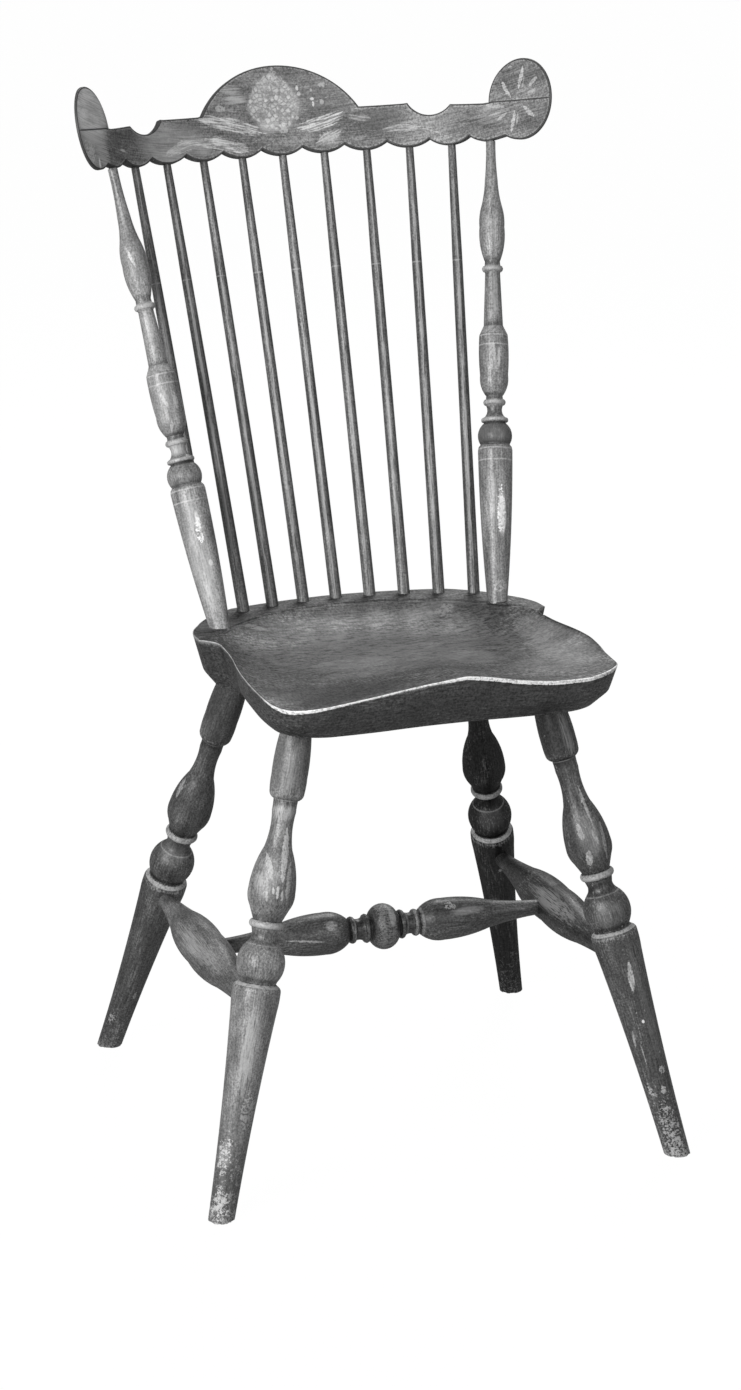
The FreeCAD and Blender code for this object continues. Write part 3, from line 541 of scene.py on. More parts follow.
class Shared(Shading):
    """The node group that all marks of one kind share."""

    TEXTURES = ("Across", "Along", "Where", "Tone", "Cover", "Cloud", "Fibre", "Speck", "Flake")

    def __init__(self, name: str, numbers: Iterable[str]) -> None:
        """Start an empty group.

        Args:
            name: Name of the group.
            numbers: Names of the mark's own numbers.
        """
        self.group = bpy.data.node_groups.new(name, "ShaderNodeTree")
        for number in (*self.TEXTURES, *numbers):
            self.group.interface.new_socket(number, in_out="INPUT", socket_type="NodeSocketFloat")
        for result in ("Tone", "Cover"):
            self.group.interface.new_socket(result, in_out="OUTPUT", socket_type="NodeSocketFloat")
        self.nodes, self.links = self.group.nodes, self.group.links
        self.given = self.node("NodeGroupInput")

    def number(self, name: str) -> Value:
        """One of the group's inputs."""
        return Value(self, self.given.outputs[name])

    def ground(self) -> Ground:
        """The textures that the group is given; the place across and along stand for x and z."""
        across, along, where, _, _, *textures = (self.number(name) for name in self.TEXTURES)
        return Ground(self, across, where, along, *textures)

    def close(self, mask: Value) -> None:
        """Lead the mask to the group's outputs as the new tone and cover.

        Args:
            mask: Where the mark covers the surface.
        """
        mask = mask * self.number("Strength") * self.number("Where")
        self.node("NodeGroupOutput", None, {"Tone": self.number("Tone").toward(self.number("Paint"), mask),
                                            "Cover": self.number("Cover").high(mask)})


SHARED: dict[str, Shared] = {}


@dataclass(frozen=True)
class Mark:
    """Something laid on a finish; all marks of one class share one node group."""

    def numbers(self) -> dict[str, float]:
        """The mark's own numbers for its group; Strength and Paint are among them."""
        raise NotImplementedError

    def mask(self, ground: Ground, number: Callable[[str], Value]) -> Value:
        """Where the mark covers the surface.

        Args:
            ground: The textures, with the place across and along as x and z.
            number: Gives one of the mark's numbers as a value.

        Returns:
            0 off the mark to 1 on it.
        """
        raise NotImplementedError

    def lay(self, ground: Ground, across: Value, along: Value, where: Value | float, tone: Value,
            cover: Value | float) -> tuple[Value, Value]:
        """Lay the mark on the tone and cover so far.

        Args:
            ground: The finish's textures.
            across: Position across the piece, in millimetres.
            along: Position along the piece, in millimetres.
            where: 1 where marks may show, 0 elsewhere.
            tone: Tone so far.
            cover: Cover so far.

        Returns:
            The new tone and cover.
        """
        name = type(self).__name__.lower()
        shared = SHARED.get(name)
        if shared is None:
            shared = SHARED[name] = Shared(name, self.numbers())
            shared.close(self.mask(shared.ground(), shared.number))
        node = ground.tree.node("ShaderNodeGroup", {"node_tree": shared.group}, {
            "Across": across, "Along": along, "Where": where, "Tone": tone, "Cover": cover,
            "Cloud": ground.cloud, "Fibre": ground.fibre, "Speck": ground.speck, "Flake": ground.flake,
            **self.numbers()})
        return Value(ground.tree, node.outputs["Tone"]), Value(ground.tree, node.outputs["Cover"])


@dataclass(frozen=True)
class Band(Mark):
    """A thin ring painted round a turned piece."""

    at: float
    width: float = 1.5
    strength: float = 0.7
    tone: float = 0.55

    def numbers(self) -> dict[str, float]:
        """See Mark.numbers."""
        return {"At": self.at, "Half": self.width / 2.0, "Strength": self.strength, "Paint": self.tone}

    def mask(self, ground: Ground, number: Callable[[str], Value]) -> Value:
        """See Mark.mask."""
        off = abs(ground.z + (ground.cloud - 0.5) * 0.8 + (ground.speck - 0.5) * 0.5 - number("At"))
        thin = (ground.speck * 0.6 + ground.flake * 0.6).ease(0.45, 0.7) * 0.6 + 0.4
        return (number("Half") - off).ease(-0.3, 0.3) * thin


@dataclass(frozen=True)
class Patch(Mark):
    """An oval patch of wear or paint; its tone is 0 for black to 1 for white.

    Its centre and half widths are across and along the piece, as x and z.
    """

    x: float
    z: float
    wide: float
    tall: float
    strength: float
    tone: float = 0.5

    def numbers(self) -> dict[str, float]:
        """See Mark.numbers."""
        return {"Centre X": self.x, "Centre Z": self.z, "Wide": 1.0 / self.wide, "Tall": 1.0 / self.tall,
                "Strength": self.strength, "Paint": self.tone}

    def off(self, ground: Ground, number: Callable[[str], Value]) -> Value:
        """Measure how far a place lies from the centre.

        Args:
            ground: The textures and the place.
            number: Gives one of the mark's numbers as a value.

        Returns:
            The distance squared, about 1 on the rim, with a cloudy unevenness.
        """
        wide = (ground.x - number("Centre X")) * number("Wide")
        tall = (ground.z - number("Centre Z")) * number("Tall")
        return wide * wide + tall * tall + (ground.cloud - 0.5) * 0.8

    def soft(self, ground: Ground, number: Callable[[str], Value]) -> Value:
        """1 in the middle of the patch, fading out past its rim."""
        return self.off(ground, number).ease(1.3, 0.1)


class Smudge(Patch):
    """A soft and cloudy patch."""

    def mask(self, ground: Ground, number: Callable[[str], Value]) -> Value:
        """See Mark.mask."""
        cloudy = ground.cloud.ease(0.3, 0.7) * 0.5 + 0.5
        return self.soft(ground, number) * cloudy * (ground.fibre.ease(0.3, 0.7) * 0.6 + 0.7)


class Scratches(Patch):
    """Streaks along the grain."""

    def mask(self, ground: Ground, number: Callable[[str], Value]) -> Value:
        """See Mark.mask."""
        soft = self.soft(ground, number)
        return soft * (ground.fibre + soft * 0.14).ease(0.5, 0.64)


class Chips(Patch):
    """Small hard flakes."""

    def mask(self, ground: Ground, number: Callable[[str], Value]) -> Value:
        """See Mark.mask."""
        soft = self.soft(ground, number)
        return (ground.flake * 0.7 + ground.speck * 0.5 + soft * 0.24).ease(0.79, 0.87) * soft.ease(0.0, 0.15)


class Dab(Patch):
    """A ragged dab of paint."""

    def mask(self, ground: Ground, number: Callable[[str], Value]) -> Value:
        """See Mark.mask."""
        ragged = self.off(ground, number) + (ground.flake - 0.5) * 1.6 + (ground.speck - 0.5) * 1.2
        return ragged.ease(1.15, 0.6) * ((ground.fibre + ground.speck).ease(0.7, 1.1) * 0.5 + 0.5)


@dataclass(frozen=True)
class Petal(Mark):
    """A brush stroke from one place to another, widest near its middle."""

    x: float
    z: float
    to_x: float
    to_z: float
    breadth: float
    strength: float = 0.8
    bow: float = 0.0
    tone: float = 0.62

    def numbers(self) -> dict[str, float]:
        """See Mark.numbers."""
        way = (self.to_x - self.x, self.to_z - self.z)
        length = math.hypot(*way)
        return {"Start X": self.x, "Start Z": self.z, "Unit X": way[0] / length, "Unit Z": way[1] / length,
                "Length": length, "Half": self.breadth / 2.0, "Bow": self.bow, "Strength": self.strength,
                "Paint": self.tone}

    def local(self, ground: Ground, number: Callable[[str], Value]) -> tuple[Value, Value, Value]:
        """Place a point in the stroke's own terms.

        Args:
            ground: The textures and the place.
            number: Gives one of the mark's numbers as a value.

        Returns:
            The run along the stroke from 0 to 1, the distance to its left and its half breadth there.
        """
        across, along = ground.x - number("Start X"), ground.z - number("Start Z")
        run = (across * number("Unit X") + along * number("Unit Z")) / number("Length")
        swell = (run * (run * -4.0 + 4.0)).high(0.0)
        side = along * number("Unit X") - across * number("Unit Z") - swell * number("Bow")
        return run, side, (swell ** 0.6) * number("Half")

    def mask(self, ground: Ground, number: Callable[[str], Value]) -> Value:
        """See Mark.mask."""
        _, side, half = self.local(ground, number)
        thin = (ground.fibre * 0.7 + ground.speck * 0.5).ease(0.42, 0.72) * 0.7 + 0.3
        ragged = half - abs(side) + (ground.speck + ground.flake - 1.0) * number("Half") * 0.9
        return ragged.ease(0.0, 0.7) * thin


@dataclass(frozen=True)
class Leaf(Petal):
    """A stenciled leaf: pale feathered streaks that run along it, beside a darker vein."""

    tone: float = 0.85

    def mask(self, ground: Ground, number: Callable[[str], Value]) -> Value:
        """See Mark.mask."""
        run, side, half = self.local(ground, number)
        flat = ground.tree.node("ShaderNodeCombineXYZ", None, {
            0: run * number("Length") * 0.055, 1: side * 0.62, 2: number("Start X")}).outputs[0]
        streak = ground.tree.noise(flat, 1.0, 4.0, 0.62)
        edge = half - abs(side) + (streak - 0.5) * number("Half") * 1.6 + (ground.speck - 0.5) * 1.5
        return edge.ease(-0.3, 2.6) * (streak.ease(0.42, 0.6) * 0.85 + 0.15) * (
            ground.speck.ease(0.3, 0.6) * 0.3 + 0.7)


@dataclass(frozen=True)
class WornPaint:
    """Old dark paint on wood, thin on the arrises and dirty in the hollows."""

    name: str
    tone: float = 0.17
    seed: float = 0.0
    grain: tuple[float, float, float] = (0.9, 0.9, 0.035)
    clouds: tuple[float, float, float] = (0.06, 0.06, 0.02)
    rubbed: float = 0.4
    worn_tone: float = 0.3
    scratches: float = 0.4
    gloss: float = 0.4
    varnish: float = 0.36
    specks: tuple[float, float, float] = (0.55, 0.55, 0.55)
    marks: tuple[Mark, ...] = ()

    def make(self) -> bpy.types.Material:
        """Build the finish.

        Returns:
            The material.
        """
        tree = Shading(bpy.data.materials.new(self.name))
        place = tree.attribute("place").outputs["Vector"]
        worn = Value(tree, tree.attribute("exposure").outputs["Fac"])
        axes = tree.node("ShaderNodeSeparateXYZ", None, {0: place})
        cloud = tree.noise(tree.stretched(place, self.clouds, self.seed), 1.0, 3.0, 0.6)
        fibre = tree.noise(tree.stretched(place, self.grain, self.seed + 11.0), 1.0, 4.0, 0.65)
        speck = tree.noise(tree.stretched(place, self.specks, self.seed + 23.0), 1.0, 2.0, 0.7)
        flake = tree.noise(tree.stretched(place, (0.2, 0.2, 0.2), self.seed + 31.0), 1.0, 5.0, 0.75)
        ground = Ground(tree, *(Value(tree, axes.outputs[i]) for i in range(3)), cloud, fibre, speck, flake)
        tone = (cloud.ease(0.28, 0.72) * 0.8 + 0.6) * (fibre.ease(0.3, 0.7) * 0.7 + 0.65) * self.tone
        tone = tone * (speck.ease(0.3, 0.7) * 0.8 + 0.6) * (1.0 - worn.ease(-0.05, -0.6) * 0.6)
        bare = cloud.ease(0.45, 0.65) * (fibre * 0.75 + speck * 0.35).ease(0.56, 0.68) * self.scratches
        tone = tone.toward(self.worn_tone, bare * 0.7)
        rub = (worn + (fibre - 0.5) * 0.9 + (speck - 0.5) * 0.9).ease(self.rubbed, self.rubbed + 0.4)
        tone = tone.toward(self.worn_tone + 0.06, rub * 0.45)
        nicks = (speck * 0.7 + fibre * 0.3).ease(0.33, 0.26)
        tone = tone * (1.0 - nicks * 0.6)
        tone, mass = self.paint(ground, tone)
        roughness = speck * 0.2 + self.gloss + rub * 0.12 + mass * 0.12
        relief = fibre * 0.5 + speck * 0.35 + mass * 0.25 - nicks * 0.4
        varnish = (speck * 0.9 + fibre * 0.7 - 0.1).ease(0.1, 1.1) * (1.0 - rub * 0.2)
        varnish = varnish * (1.0 - mass * 0.6) * self.varnish
        return tree.finish(tone, roughness, varnish, relief)

    def paint(self, ground: Ground, tone: Value) -> tuple[Value, Value]:
        """Add the marks and decoration.

        Args:
            ground: The finish's nodes and textures.
            tone: Tone so far.

        Returns:
            The new tone and how thick the decoration's paint lies.
        """
        return self.laid(self.marks, ground, (ground.x, ground.y, 1.0), tone)

    def laid(self, marks: Iterable[Mark], ground: Ground, place: tuple[Value, Value, Value | float],
             tone: Value) -> tuple[Value, Value]:
        """Lay marks one after the other.

        Args:
            marks: The marks, lowest first.
            ground: The finish's nodes and textures.
            place: Across, along and where marks may show.
            tone: Tone so far.

        Returns:
            The new tone and how thick the marks' paint lies.
        """
        cover = ground.fibre * 0.0
        for mark in marks:
            tone, cover = mark.lay(ground, *place, tone, cover)
        return tone, cover


@dataclass(frozen=True)
class TurnedPaint(WornPaint):
    """Worn paint with pale rings and brush strokes on a turned piece."""

    bands: tuple[Band, ...] = ()
    foot: float = 0.0
    scuffed: float = 0.7

    def paint(self, ground: Ground, tone: Value) -> tuple[Value, Value]:
        """Add the rings, the strokes and a leg's worn foot; see WornPaint.paint."""
        tone, marks = self.laid(self.marks, ground, (ground.y, ground.z, ground.x.ease(0.0, 3.0)), tone)
        tone, cover = self.laid(self.bands, ground, (ground.y, ground.z, 1.0), tone)
        if self.foot:
            low = (ground.z + (ground.cloud - 0.5) * 60.0).ease(self.foot - 70.0, self.foot)
            loss = (ground.flake * 0.9 + ground.speck * 0.3 + low * 0.16).ease(0.78, 0.86)
            loss = loss * low.ease(0.0, 0.3)
            tone = tone.toward(0.42, loss * self.scuffed)
            tip = (ground.z + (ground.flake - 0.5) * 16.0).ease(self.foot + 26.0, self.foot + 38.0)
            tone = tone.toward(0.5, tip * (ground.speck + ground.fibre * 0.3).ease(0.55, 0.75) * self.scuffed)
        return tone, cover.high(marks)


@dataclass(frozen=True)
class SeatPaint(WornPaint):
    """Worn seat paint with a pale line along the top edge, and painted light: a lighter top and darker walls.
    """

    def paint(self, ground: Ground, tone: Value) -> tuple[Value, Value]:
        """Add the marks, the edge line and the painted light of a lighter top and darker walls; see
        WornPaint.paint.
        """
        rim = Value(ground.tree, ground.tree.attribute("rim").outputs["Fac"])
        # Painted light: the top is painted lighter and the side walls darker.
        tone = tone * (rim.ease(-4.0, 0.0) * 0.65 + 0.6)
        tone, marks = self.laid(self.marks, ground, (ground.x, ground.y, rim.ease(0.0, 6.0)), tone)
        ahead = ground.y.ease(6.0, 2.0)
        front = ground.y.ease(-175.0, -212.0)
        flank = 1.0 - (ground.x.ease(100.0, 140.0) * ground.y.ease(-205.0, -190.0))
        near = abs(ground.x + 60.0).ease(20.0, 95.0)
        wander = (ground.speck - 0.5) * 1.6 + (ground.flake - 0.5) * 1.4
        half = front * (near * 1.7 + 0.75) + 0.6
        off = rim + 0.7 + wander * 0.35
        line = (half + wander * 0.35 - abs(off)).ease(0.0, 0.45) * ahead * flank
        line = line * ((ground.speck * 0.6 + ground.fibre * 0.5).ease(0.42, 0.6) * 0.75 + 0.25)
        line = line * (front * 0.5 + 0.5)
        inside = off - half
        shade = inside.ease(0.0, 0.5) * inside.ease(2.2, 1.4) * ahead
        faint = inside.ease(1.9, 2.3) * inside.ease(3.4, 2.8) * ahead * flank * ground.fibre.ease(0.4, 0.6)
        tone = (tone * (1.0 - shade * 0.8)).toward(0.3, faint * 0.35)
        return tone.toward(0.85, line), line.high(marks)


@dataclass(frozen=True)
class CrestPaint(WornPaint):
    """Worn crest paint with the stenciled fruit and leaves on its front, and painted shade on its edges and
    outline.
    """

    fruit: Point = (-3.5, 49.0)
    fruit_size: Point = (27.0, 28.0)

    def paint(self, ground: Ground, tone: Value) -> tuple[Value, Value]:
        """Add the marks, the stencil and the painted shade on the edges and outline; see WornPaint.paint."""
        run, height = ground.x, ground.z
        front = ground.y.ease(-3.0, -4.0)
        tone, marks = self.laid(self.marks, ground, (run, height, front), tone)
        up = (height - self.fruit[1]) * (1.0 / self.fruit_size[1])
        taper = 1.0 - up.ease(-0.3, 1.2) * 0.34
        wide = (run - self.fruit[0]) / (taper * self.fruit_size[0])
        ragged = (ground.speck - 0.5) * 0.7 + (ground.flake - 0.5) * 0.9
        inside = (wide * wide + up * up + ragged).ease(1.1, 0.85)
        lattice = ground.tree.node("ShaderNodeCombineXYZ", None,
                                   {0: run + height * 0.8 + (ground.flake - 0.5) * 5.0,
                                    1: run * -0.8 + height + (ground.cloud - 0.5) * 5.0, 2: 4.0}).outputs[0]
        net = ground.tree.value("ShaderNodeTexVoronoi", {"feature": "DISTANCE_TO_EDGE"},
                                {"Vector": lattice, "Scale": 0.17, "Randomness": 0.6}).ease(0.02, 0.26)
        powder = (ground.speck * 0.7 + ground.flake * 0.6).ease(0.5, 0.85)
        cover = inside * front * ((net * 0.6 + 0.35) * (powder * 0.4 + 0.6))
        tone = tone.toward(0.66, cover)
        # Painted shade: the board's edge faces are painted almost black.
        rim = ground.y.ease(-4.7, -4.1) * ground.y.ease(4.0, 1.5)
        rim = rim * (1.0 - (ground.fibre * 0.6 + ground.flake * 0.5).ease(0.6, 0.72) * 0.6)
        # Painted shade: a thin dark outline round the front, with a paler patchy line just inside it.
        exposed = Value(ground.tree, ground.tree.attribute("exposure").outputs["Fac"])
        inner = exposed.ease(0.02, 0.2) * front
        edge = exposed.ease(0.27, 0.4) * front
        tone = tone.toward(0.42, inner * (1.0 - edge) * ground.speck.ease(0.4, 0.55) * 0.4)
        return tone.toward(0.03, rim.high(edge) * 0.9), cover.high(marks)


# The seat

@dataclass
class SaddleSeat:
    """The thick seat, one plank carved to a saddle with a low front ridge and a gutter before the deck.

    Sizes are in the plank's own frame: x across, y to the back, height up from the underside.
    """

    thickness: float = SEAT_THICKNESS
    bevel_height: float = 14.0
    bevel_share: float = 0.95
    underside_share: float = 0.885
    gutter_radius: float = 168.3
    gutter_ahead: float = 76.3
    gutter_turn: float = 66.0
    groove: float = 3.2
    waist: float = 1.0
    front: float = 226.0
    half_width: float = 151.0
    saddle: float = 16.0
    bowl: float = 3.0
    pommel: float = 8.0
    pommel_width: float = 52.0
    pommel_start: float = 70.0
    lip: float = 1.5
    step: float = 3.0
    rim_heights: tuple[Point, ...] = (
        (-180, 45.9), (-168.7, 43.2), (-158.6, 39.8), (-149.6, 36), (-141.7, 32), (-136, 29.4),
        (-132, 28.4), (-128, 31), (-123.6, 35.5), (-117, 38.2), (-105.2, 41.4), (-91.3, 44.8), (-74, 47),
        (0, 47), (91.3, 47), (100, 46.4), (106, 45.4), (112.5, 42.2), (117, 38.8), (123.6, 36.6),
        (128, 37), (132, 37.4), (136, 36.6), (141.7, 34.4), (149.6, 34.6), (158.6, 38.3), (168.7, 44),
        (177, 47), (180, 45.9))

    def rows(self) -> list[Row]:
        """Draw the top's outline; its left half mirrors the right.

        Returns:
            Its corners, clockwise from the middle of the back.
        """
        right: list[Row] = [
            (0, 131, -.035), (105, 113, -.07), (153, 56, -.06), (166, 19, None), (166, 1, .15),
            (153.7, -32, .02), (157.5, -80, -.026), (163.5, -185, -.182), (121.5, -230, -.015),
            (60, -229, .015), (0, -226, .015)]
        left = [(-right[i][0], right[i][1], right[i - 1][2]) for i in range(len(right) - 2, 0, -1)]
        return right + left

    def height(self, x: float, y: float) -> float:
        """Carve the saddle, without the gutter.

        Args:
            x: Place across.
            y: Place to the back.

        Returns:
            Height of the top there.
        """
        forward = max(0.0, self.waist - y) / (self.front + self.waist)
        ahead = abs(x) / (self.half_width * (1.0 + 0.45 * forward ** 2))
        behind = math.hypot(x, y + self.gutter_ahead) / self.gutter_radius
        part = smooth(-45.0, 30.0, y)
        reach = ahead + (behind - ahead) * part
        wall = 1.0 - min(reach, 1.25) ** (8.0 - 2.5 * part)
        depth = (self.saddle + self.bowl * math.exp(-((y - 12.0) / 75.0) ** 2)) * wall
        ramp = min(1.0, max(0.0, (-self.pommel_start - y) / (self.front - self.pommel_start)))
        ridge = smooth(0.0, 1.0, ramp) * math.exp(-abs((x - self.pommel * ramp) / self.pommel_width) ** 1.4)
        return min(self.thickness, self.thickness - depth * (1.0 - ridge))

    def gutter(self, x: float, y: float) -> float:
        """Cut the gutter, which ends softly at both sides.

        Args:
            x: Place across.
            y: Place to the back.

        Returns:
            How far its floor lies below the deck there.
        """
        off = math.hypot(x, y + self.gutter_ahead) - self.gutter_radius
        turn = abs(math.degrees(math.atan2(x, y + self.gutter_ahead)))
        if abs(off) >= self.groove or turn >= self.gutter_turn:
            return 0.0
        return math.sqrt(self.groove ** 2 - off ** 2) * min(1.0, (self.gutter_turn - turn) / 12.0) * 0.6

    def carved(self, x: float, y: float) -> float:
        """Height of the finished top at a place."""
        groove = self.gutter(x, y)
        return min(self.height(x, y), self.thickness - groove) if groove else self.height(x, y)

    def rim_height(self, bearing: float) -> float:
        """Read rim_heights.

        Args:
            bearing: Degrees round the gutter's centre, 0 to the back and growing to the right.

        Returns:
            Height of the top edge there.
        """
        for (first, low), (last, high) in zip(self.rim_heights, self.rim_heights[1:]):
            if bearing <= last:
                return low + (high - low) * (bearing - first) / (last - first)
        return self.rim_heights[-1][1]

    def side(self, x: float, y: float, height: float) -> Vector:
        """Follow the slanted side down from the outline.

        Args:
            x: Place of the outline point across.
            y: Its place to the back.
            height: Height of the wanted point.

        Returns:
            The point of the side.
        """
        if height > self.bevel_height:
            part = (height - self.bevel_height) / (self.thickness - self.bevel_height)
            share = self.bevel_share + (1.0 - self.bevel_share) * part
        else:
            gain = self.bevel_share - self.underside_share
            share = self.underside_share + gain * height / self.bevel_height
        return Vector((x * share, y * share, height))

    def section(self, x: float, y: float) -> list[Spot]:
        """Points from the middle of the top, over the edge and down to the middle of the underside.

        Args:
            x: Place of the outline point across.
            y: Its place to the back.

        Returns:
            Point, distance to the top edge (less than 0 on the side) and exposure of each.
        """
        bearing = math.degrees(math.atan2(x, y + self.gutter_ahead))
        rim = sum(self.rim_height(max(-180.0, min(180.0, bearing + off))) for off in (-1.2, 0.0, 1.2)) / 3.0
        edge = self.side(x, y, rim)
        top = self.top_line(edge, rim)
        return top + self.outer_line(x, y, edge, top[-1][0])

    def top_line(self, edge: Vector, rim: float) -> list[Spot]:
        """The part of a section on the top; behind the saddle its points follow the gutter's walls.

        Args:
            edge: Where the section meets the top edge.
            rim: The top edge's height there.

        Returns:
            As for section.
        """
        lift = rim - self.carved(edge.x, edge.y)
        centre = Vector((0.0, -self.gutter_ahead, 0.0))
        flat = Vector((edge.x, edge.y, 0.0)) - centre
        reach = flat.length
        way = flat / reach
        turn = abs(math.degrees(math.atan2(flat.x, flat.y)))
        guided = 1.0 - min(1.0, max(0.0, (turn - 64.0) / 6.0))
        if reach < self.gutter_radius + 8.0:
            guided = 0.0
        near = self.gutter_radius
        inner = [near * i / 44.0 for i in range(43)]
        walls = (-5.5, -4.2, -3.4, -3.0, -2.4, -1.6, -0.8, 0.0, 0.8, 1.6, 2.4, 3.0, 3.4, 4.2)
        ring = [near + off for off in walls]
        room = max(reach - self.lip - (near + 4.2), 1.0)
        outer = [near + 4.2 + room * i / 6.0 for i in range(1, 7)]
        led = inner + ring + outer
        count = len(led) - 1
        even = [(reach - self.lip) * (1.0 - (1.0 - i / count) ** 1.25) for i in range(count + 1)]
        points = []
        for one, other in zip(led, even):
            radius = min(one * guided + other * (1.0 - guided), reach - self.lip)
            spot = centre + way * radius
            spot.z = min(self.thickness, self.carved(spot.x, spot.y) + lift * (radius / reach) ** 5)
            groove = self.gutter(spot.x, spot.y) / self.groove
            points.append((spot, reach - radius, -groove * 0.6))
        return points

    def outer_line(self, x: float, y: float, edge: Vector, shoulder: Vector) -> list[Spot]:
        """The part of a section over the edge, down the side and under the seat.

        Args:
            x: Place of the outline point across.
            y: Its place to the back.
            edge: Where the section meets the top edge.
            shoulder: Last point of the top.

        Returns:
            As for section.
        """
        down = (self.side(x, y, self.bevel_height) - edge).normalized()
        below = edge + down * 1.4
        points = [(at, away, 1.0) for at, away in curve(shoulder, edge, below, self.lip, -1.4, 5)]
        corner = self.side(x, y, self.bevel_height)
        under = self.side(x, y, 0.0)
        low = (under - corner).normalized()
        length = (corner - below).length - 2.5
        for i in range(1, 6):
            points.append((below + down * (length * i / 6.0), -1.4 - length * i / 6.0, 0.0))
        eased = curve(corner - down * 2.5, corner, corner + low * 2.5, 0, 0, 4)
        points += [(at, -30.0, 0.35) for at, _ in eased]
        inward = Vector((-under.x, -under.y - 20.0, 0.0))
        span = inward.length
        inward = inward / span
        points.append((corner + low * ((under - corner).length / 2.0), -34.0, 0.0))
        eased = curve(under - low * 1.8, under, under + inward * 1.8, 0, 0, 4)
        points += [(at, -40.0, 0.6) for at, _ in eased]
        for i in range(1, 17):
            points.append((under + inward * (1.8 + (span - 1.8) * i / 16.0), -60.0, 0.0))
        return points

    def build(self, finish: WornPaint) -> bpy.types.Object:
        """Wrap a grid round the plank, from the middle of the top to the middle of the underside.

        Args:
            finish: The seat's finish.

        Returns:
            The finished piece.
        """
        rows = self.rows()
        columns = [self.section(x, y) for x, y in open_outline([*rows, rows[0]], self.step)]
        around, down = len(columns), len(columns[0])
        mesh = bmesh.new()
        bmesh.ops.create_grid(mesh, x_segments=around, y_segments=down - 1, size=1.0)
        place = mesh.verts.layers.float_vector.new("place")
        worn = mesh.verts.layers.float.new("exposure")
        rim = mesh.verts.layers.float.new("rim")
        for vert in mesh.verts:
            column = columns[round((vert.co.x + 1.0) / 2.0 * around) % around]
            spot, distance, bare = column[round((vert.co.y + 1.0) / 2.0 * (down - 1))]
            vert[place], vert[rim], vert[worn] = spot, distance, bare
            vert.co = seat_place(*spot)
        bmesh.ops.remove_doubles(mesh, verts=mesh.verts, dist=0.004)
        bmesh.ops.recalc_face_normals(mesh, faces=mesh.faces)
        bmesh.ops.scale(mesh, vec=(MM, MM, MM), verts=mesh.verts)
        return finish_mesh("carved_seat", mesh, "seat", Slot.SEAT, finish.make(), 70.0)


def curve(start: Vector, corner: Vector, finish: Vector, first: float, last: float,
          count: int) -> list[tuple[Vector, float]]:
    """Round a corner between two sides.

    Args:
        start: Where the rounding starts; it isn't among the points.
        corner: The sharp corner.
        finish: Where it ends.
        first: A number at the start.
        last: The same at the end.
        count: How many points.

    Returns:
        The points, each with its number between first and last.
    """
    points = []
    for i in range(1, count + 1):
        t = i / count
        spot = start * (1 - t) ** 2 + corner * (2 * t * (1 - t)) + finish * t ** 2
        points.append((spot, first + (last - first) * t))
    return points


# The legs and stretchers

@dataclass(frozen=True)
class LegPlan:
    """What differs from leg to leg.

    The foot is a place across and to the back in the seat's frame; the shift is how much lower than the
    drawn pattern the turning starts; scuffed is how bare the foot is.
    """

    foot: Point
    shift: float
    tone: float
    varnish: float
    scuffed: float
    marks: tuple[Mark, ...]


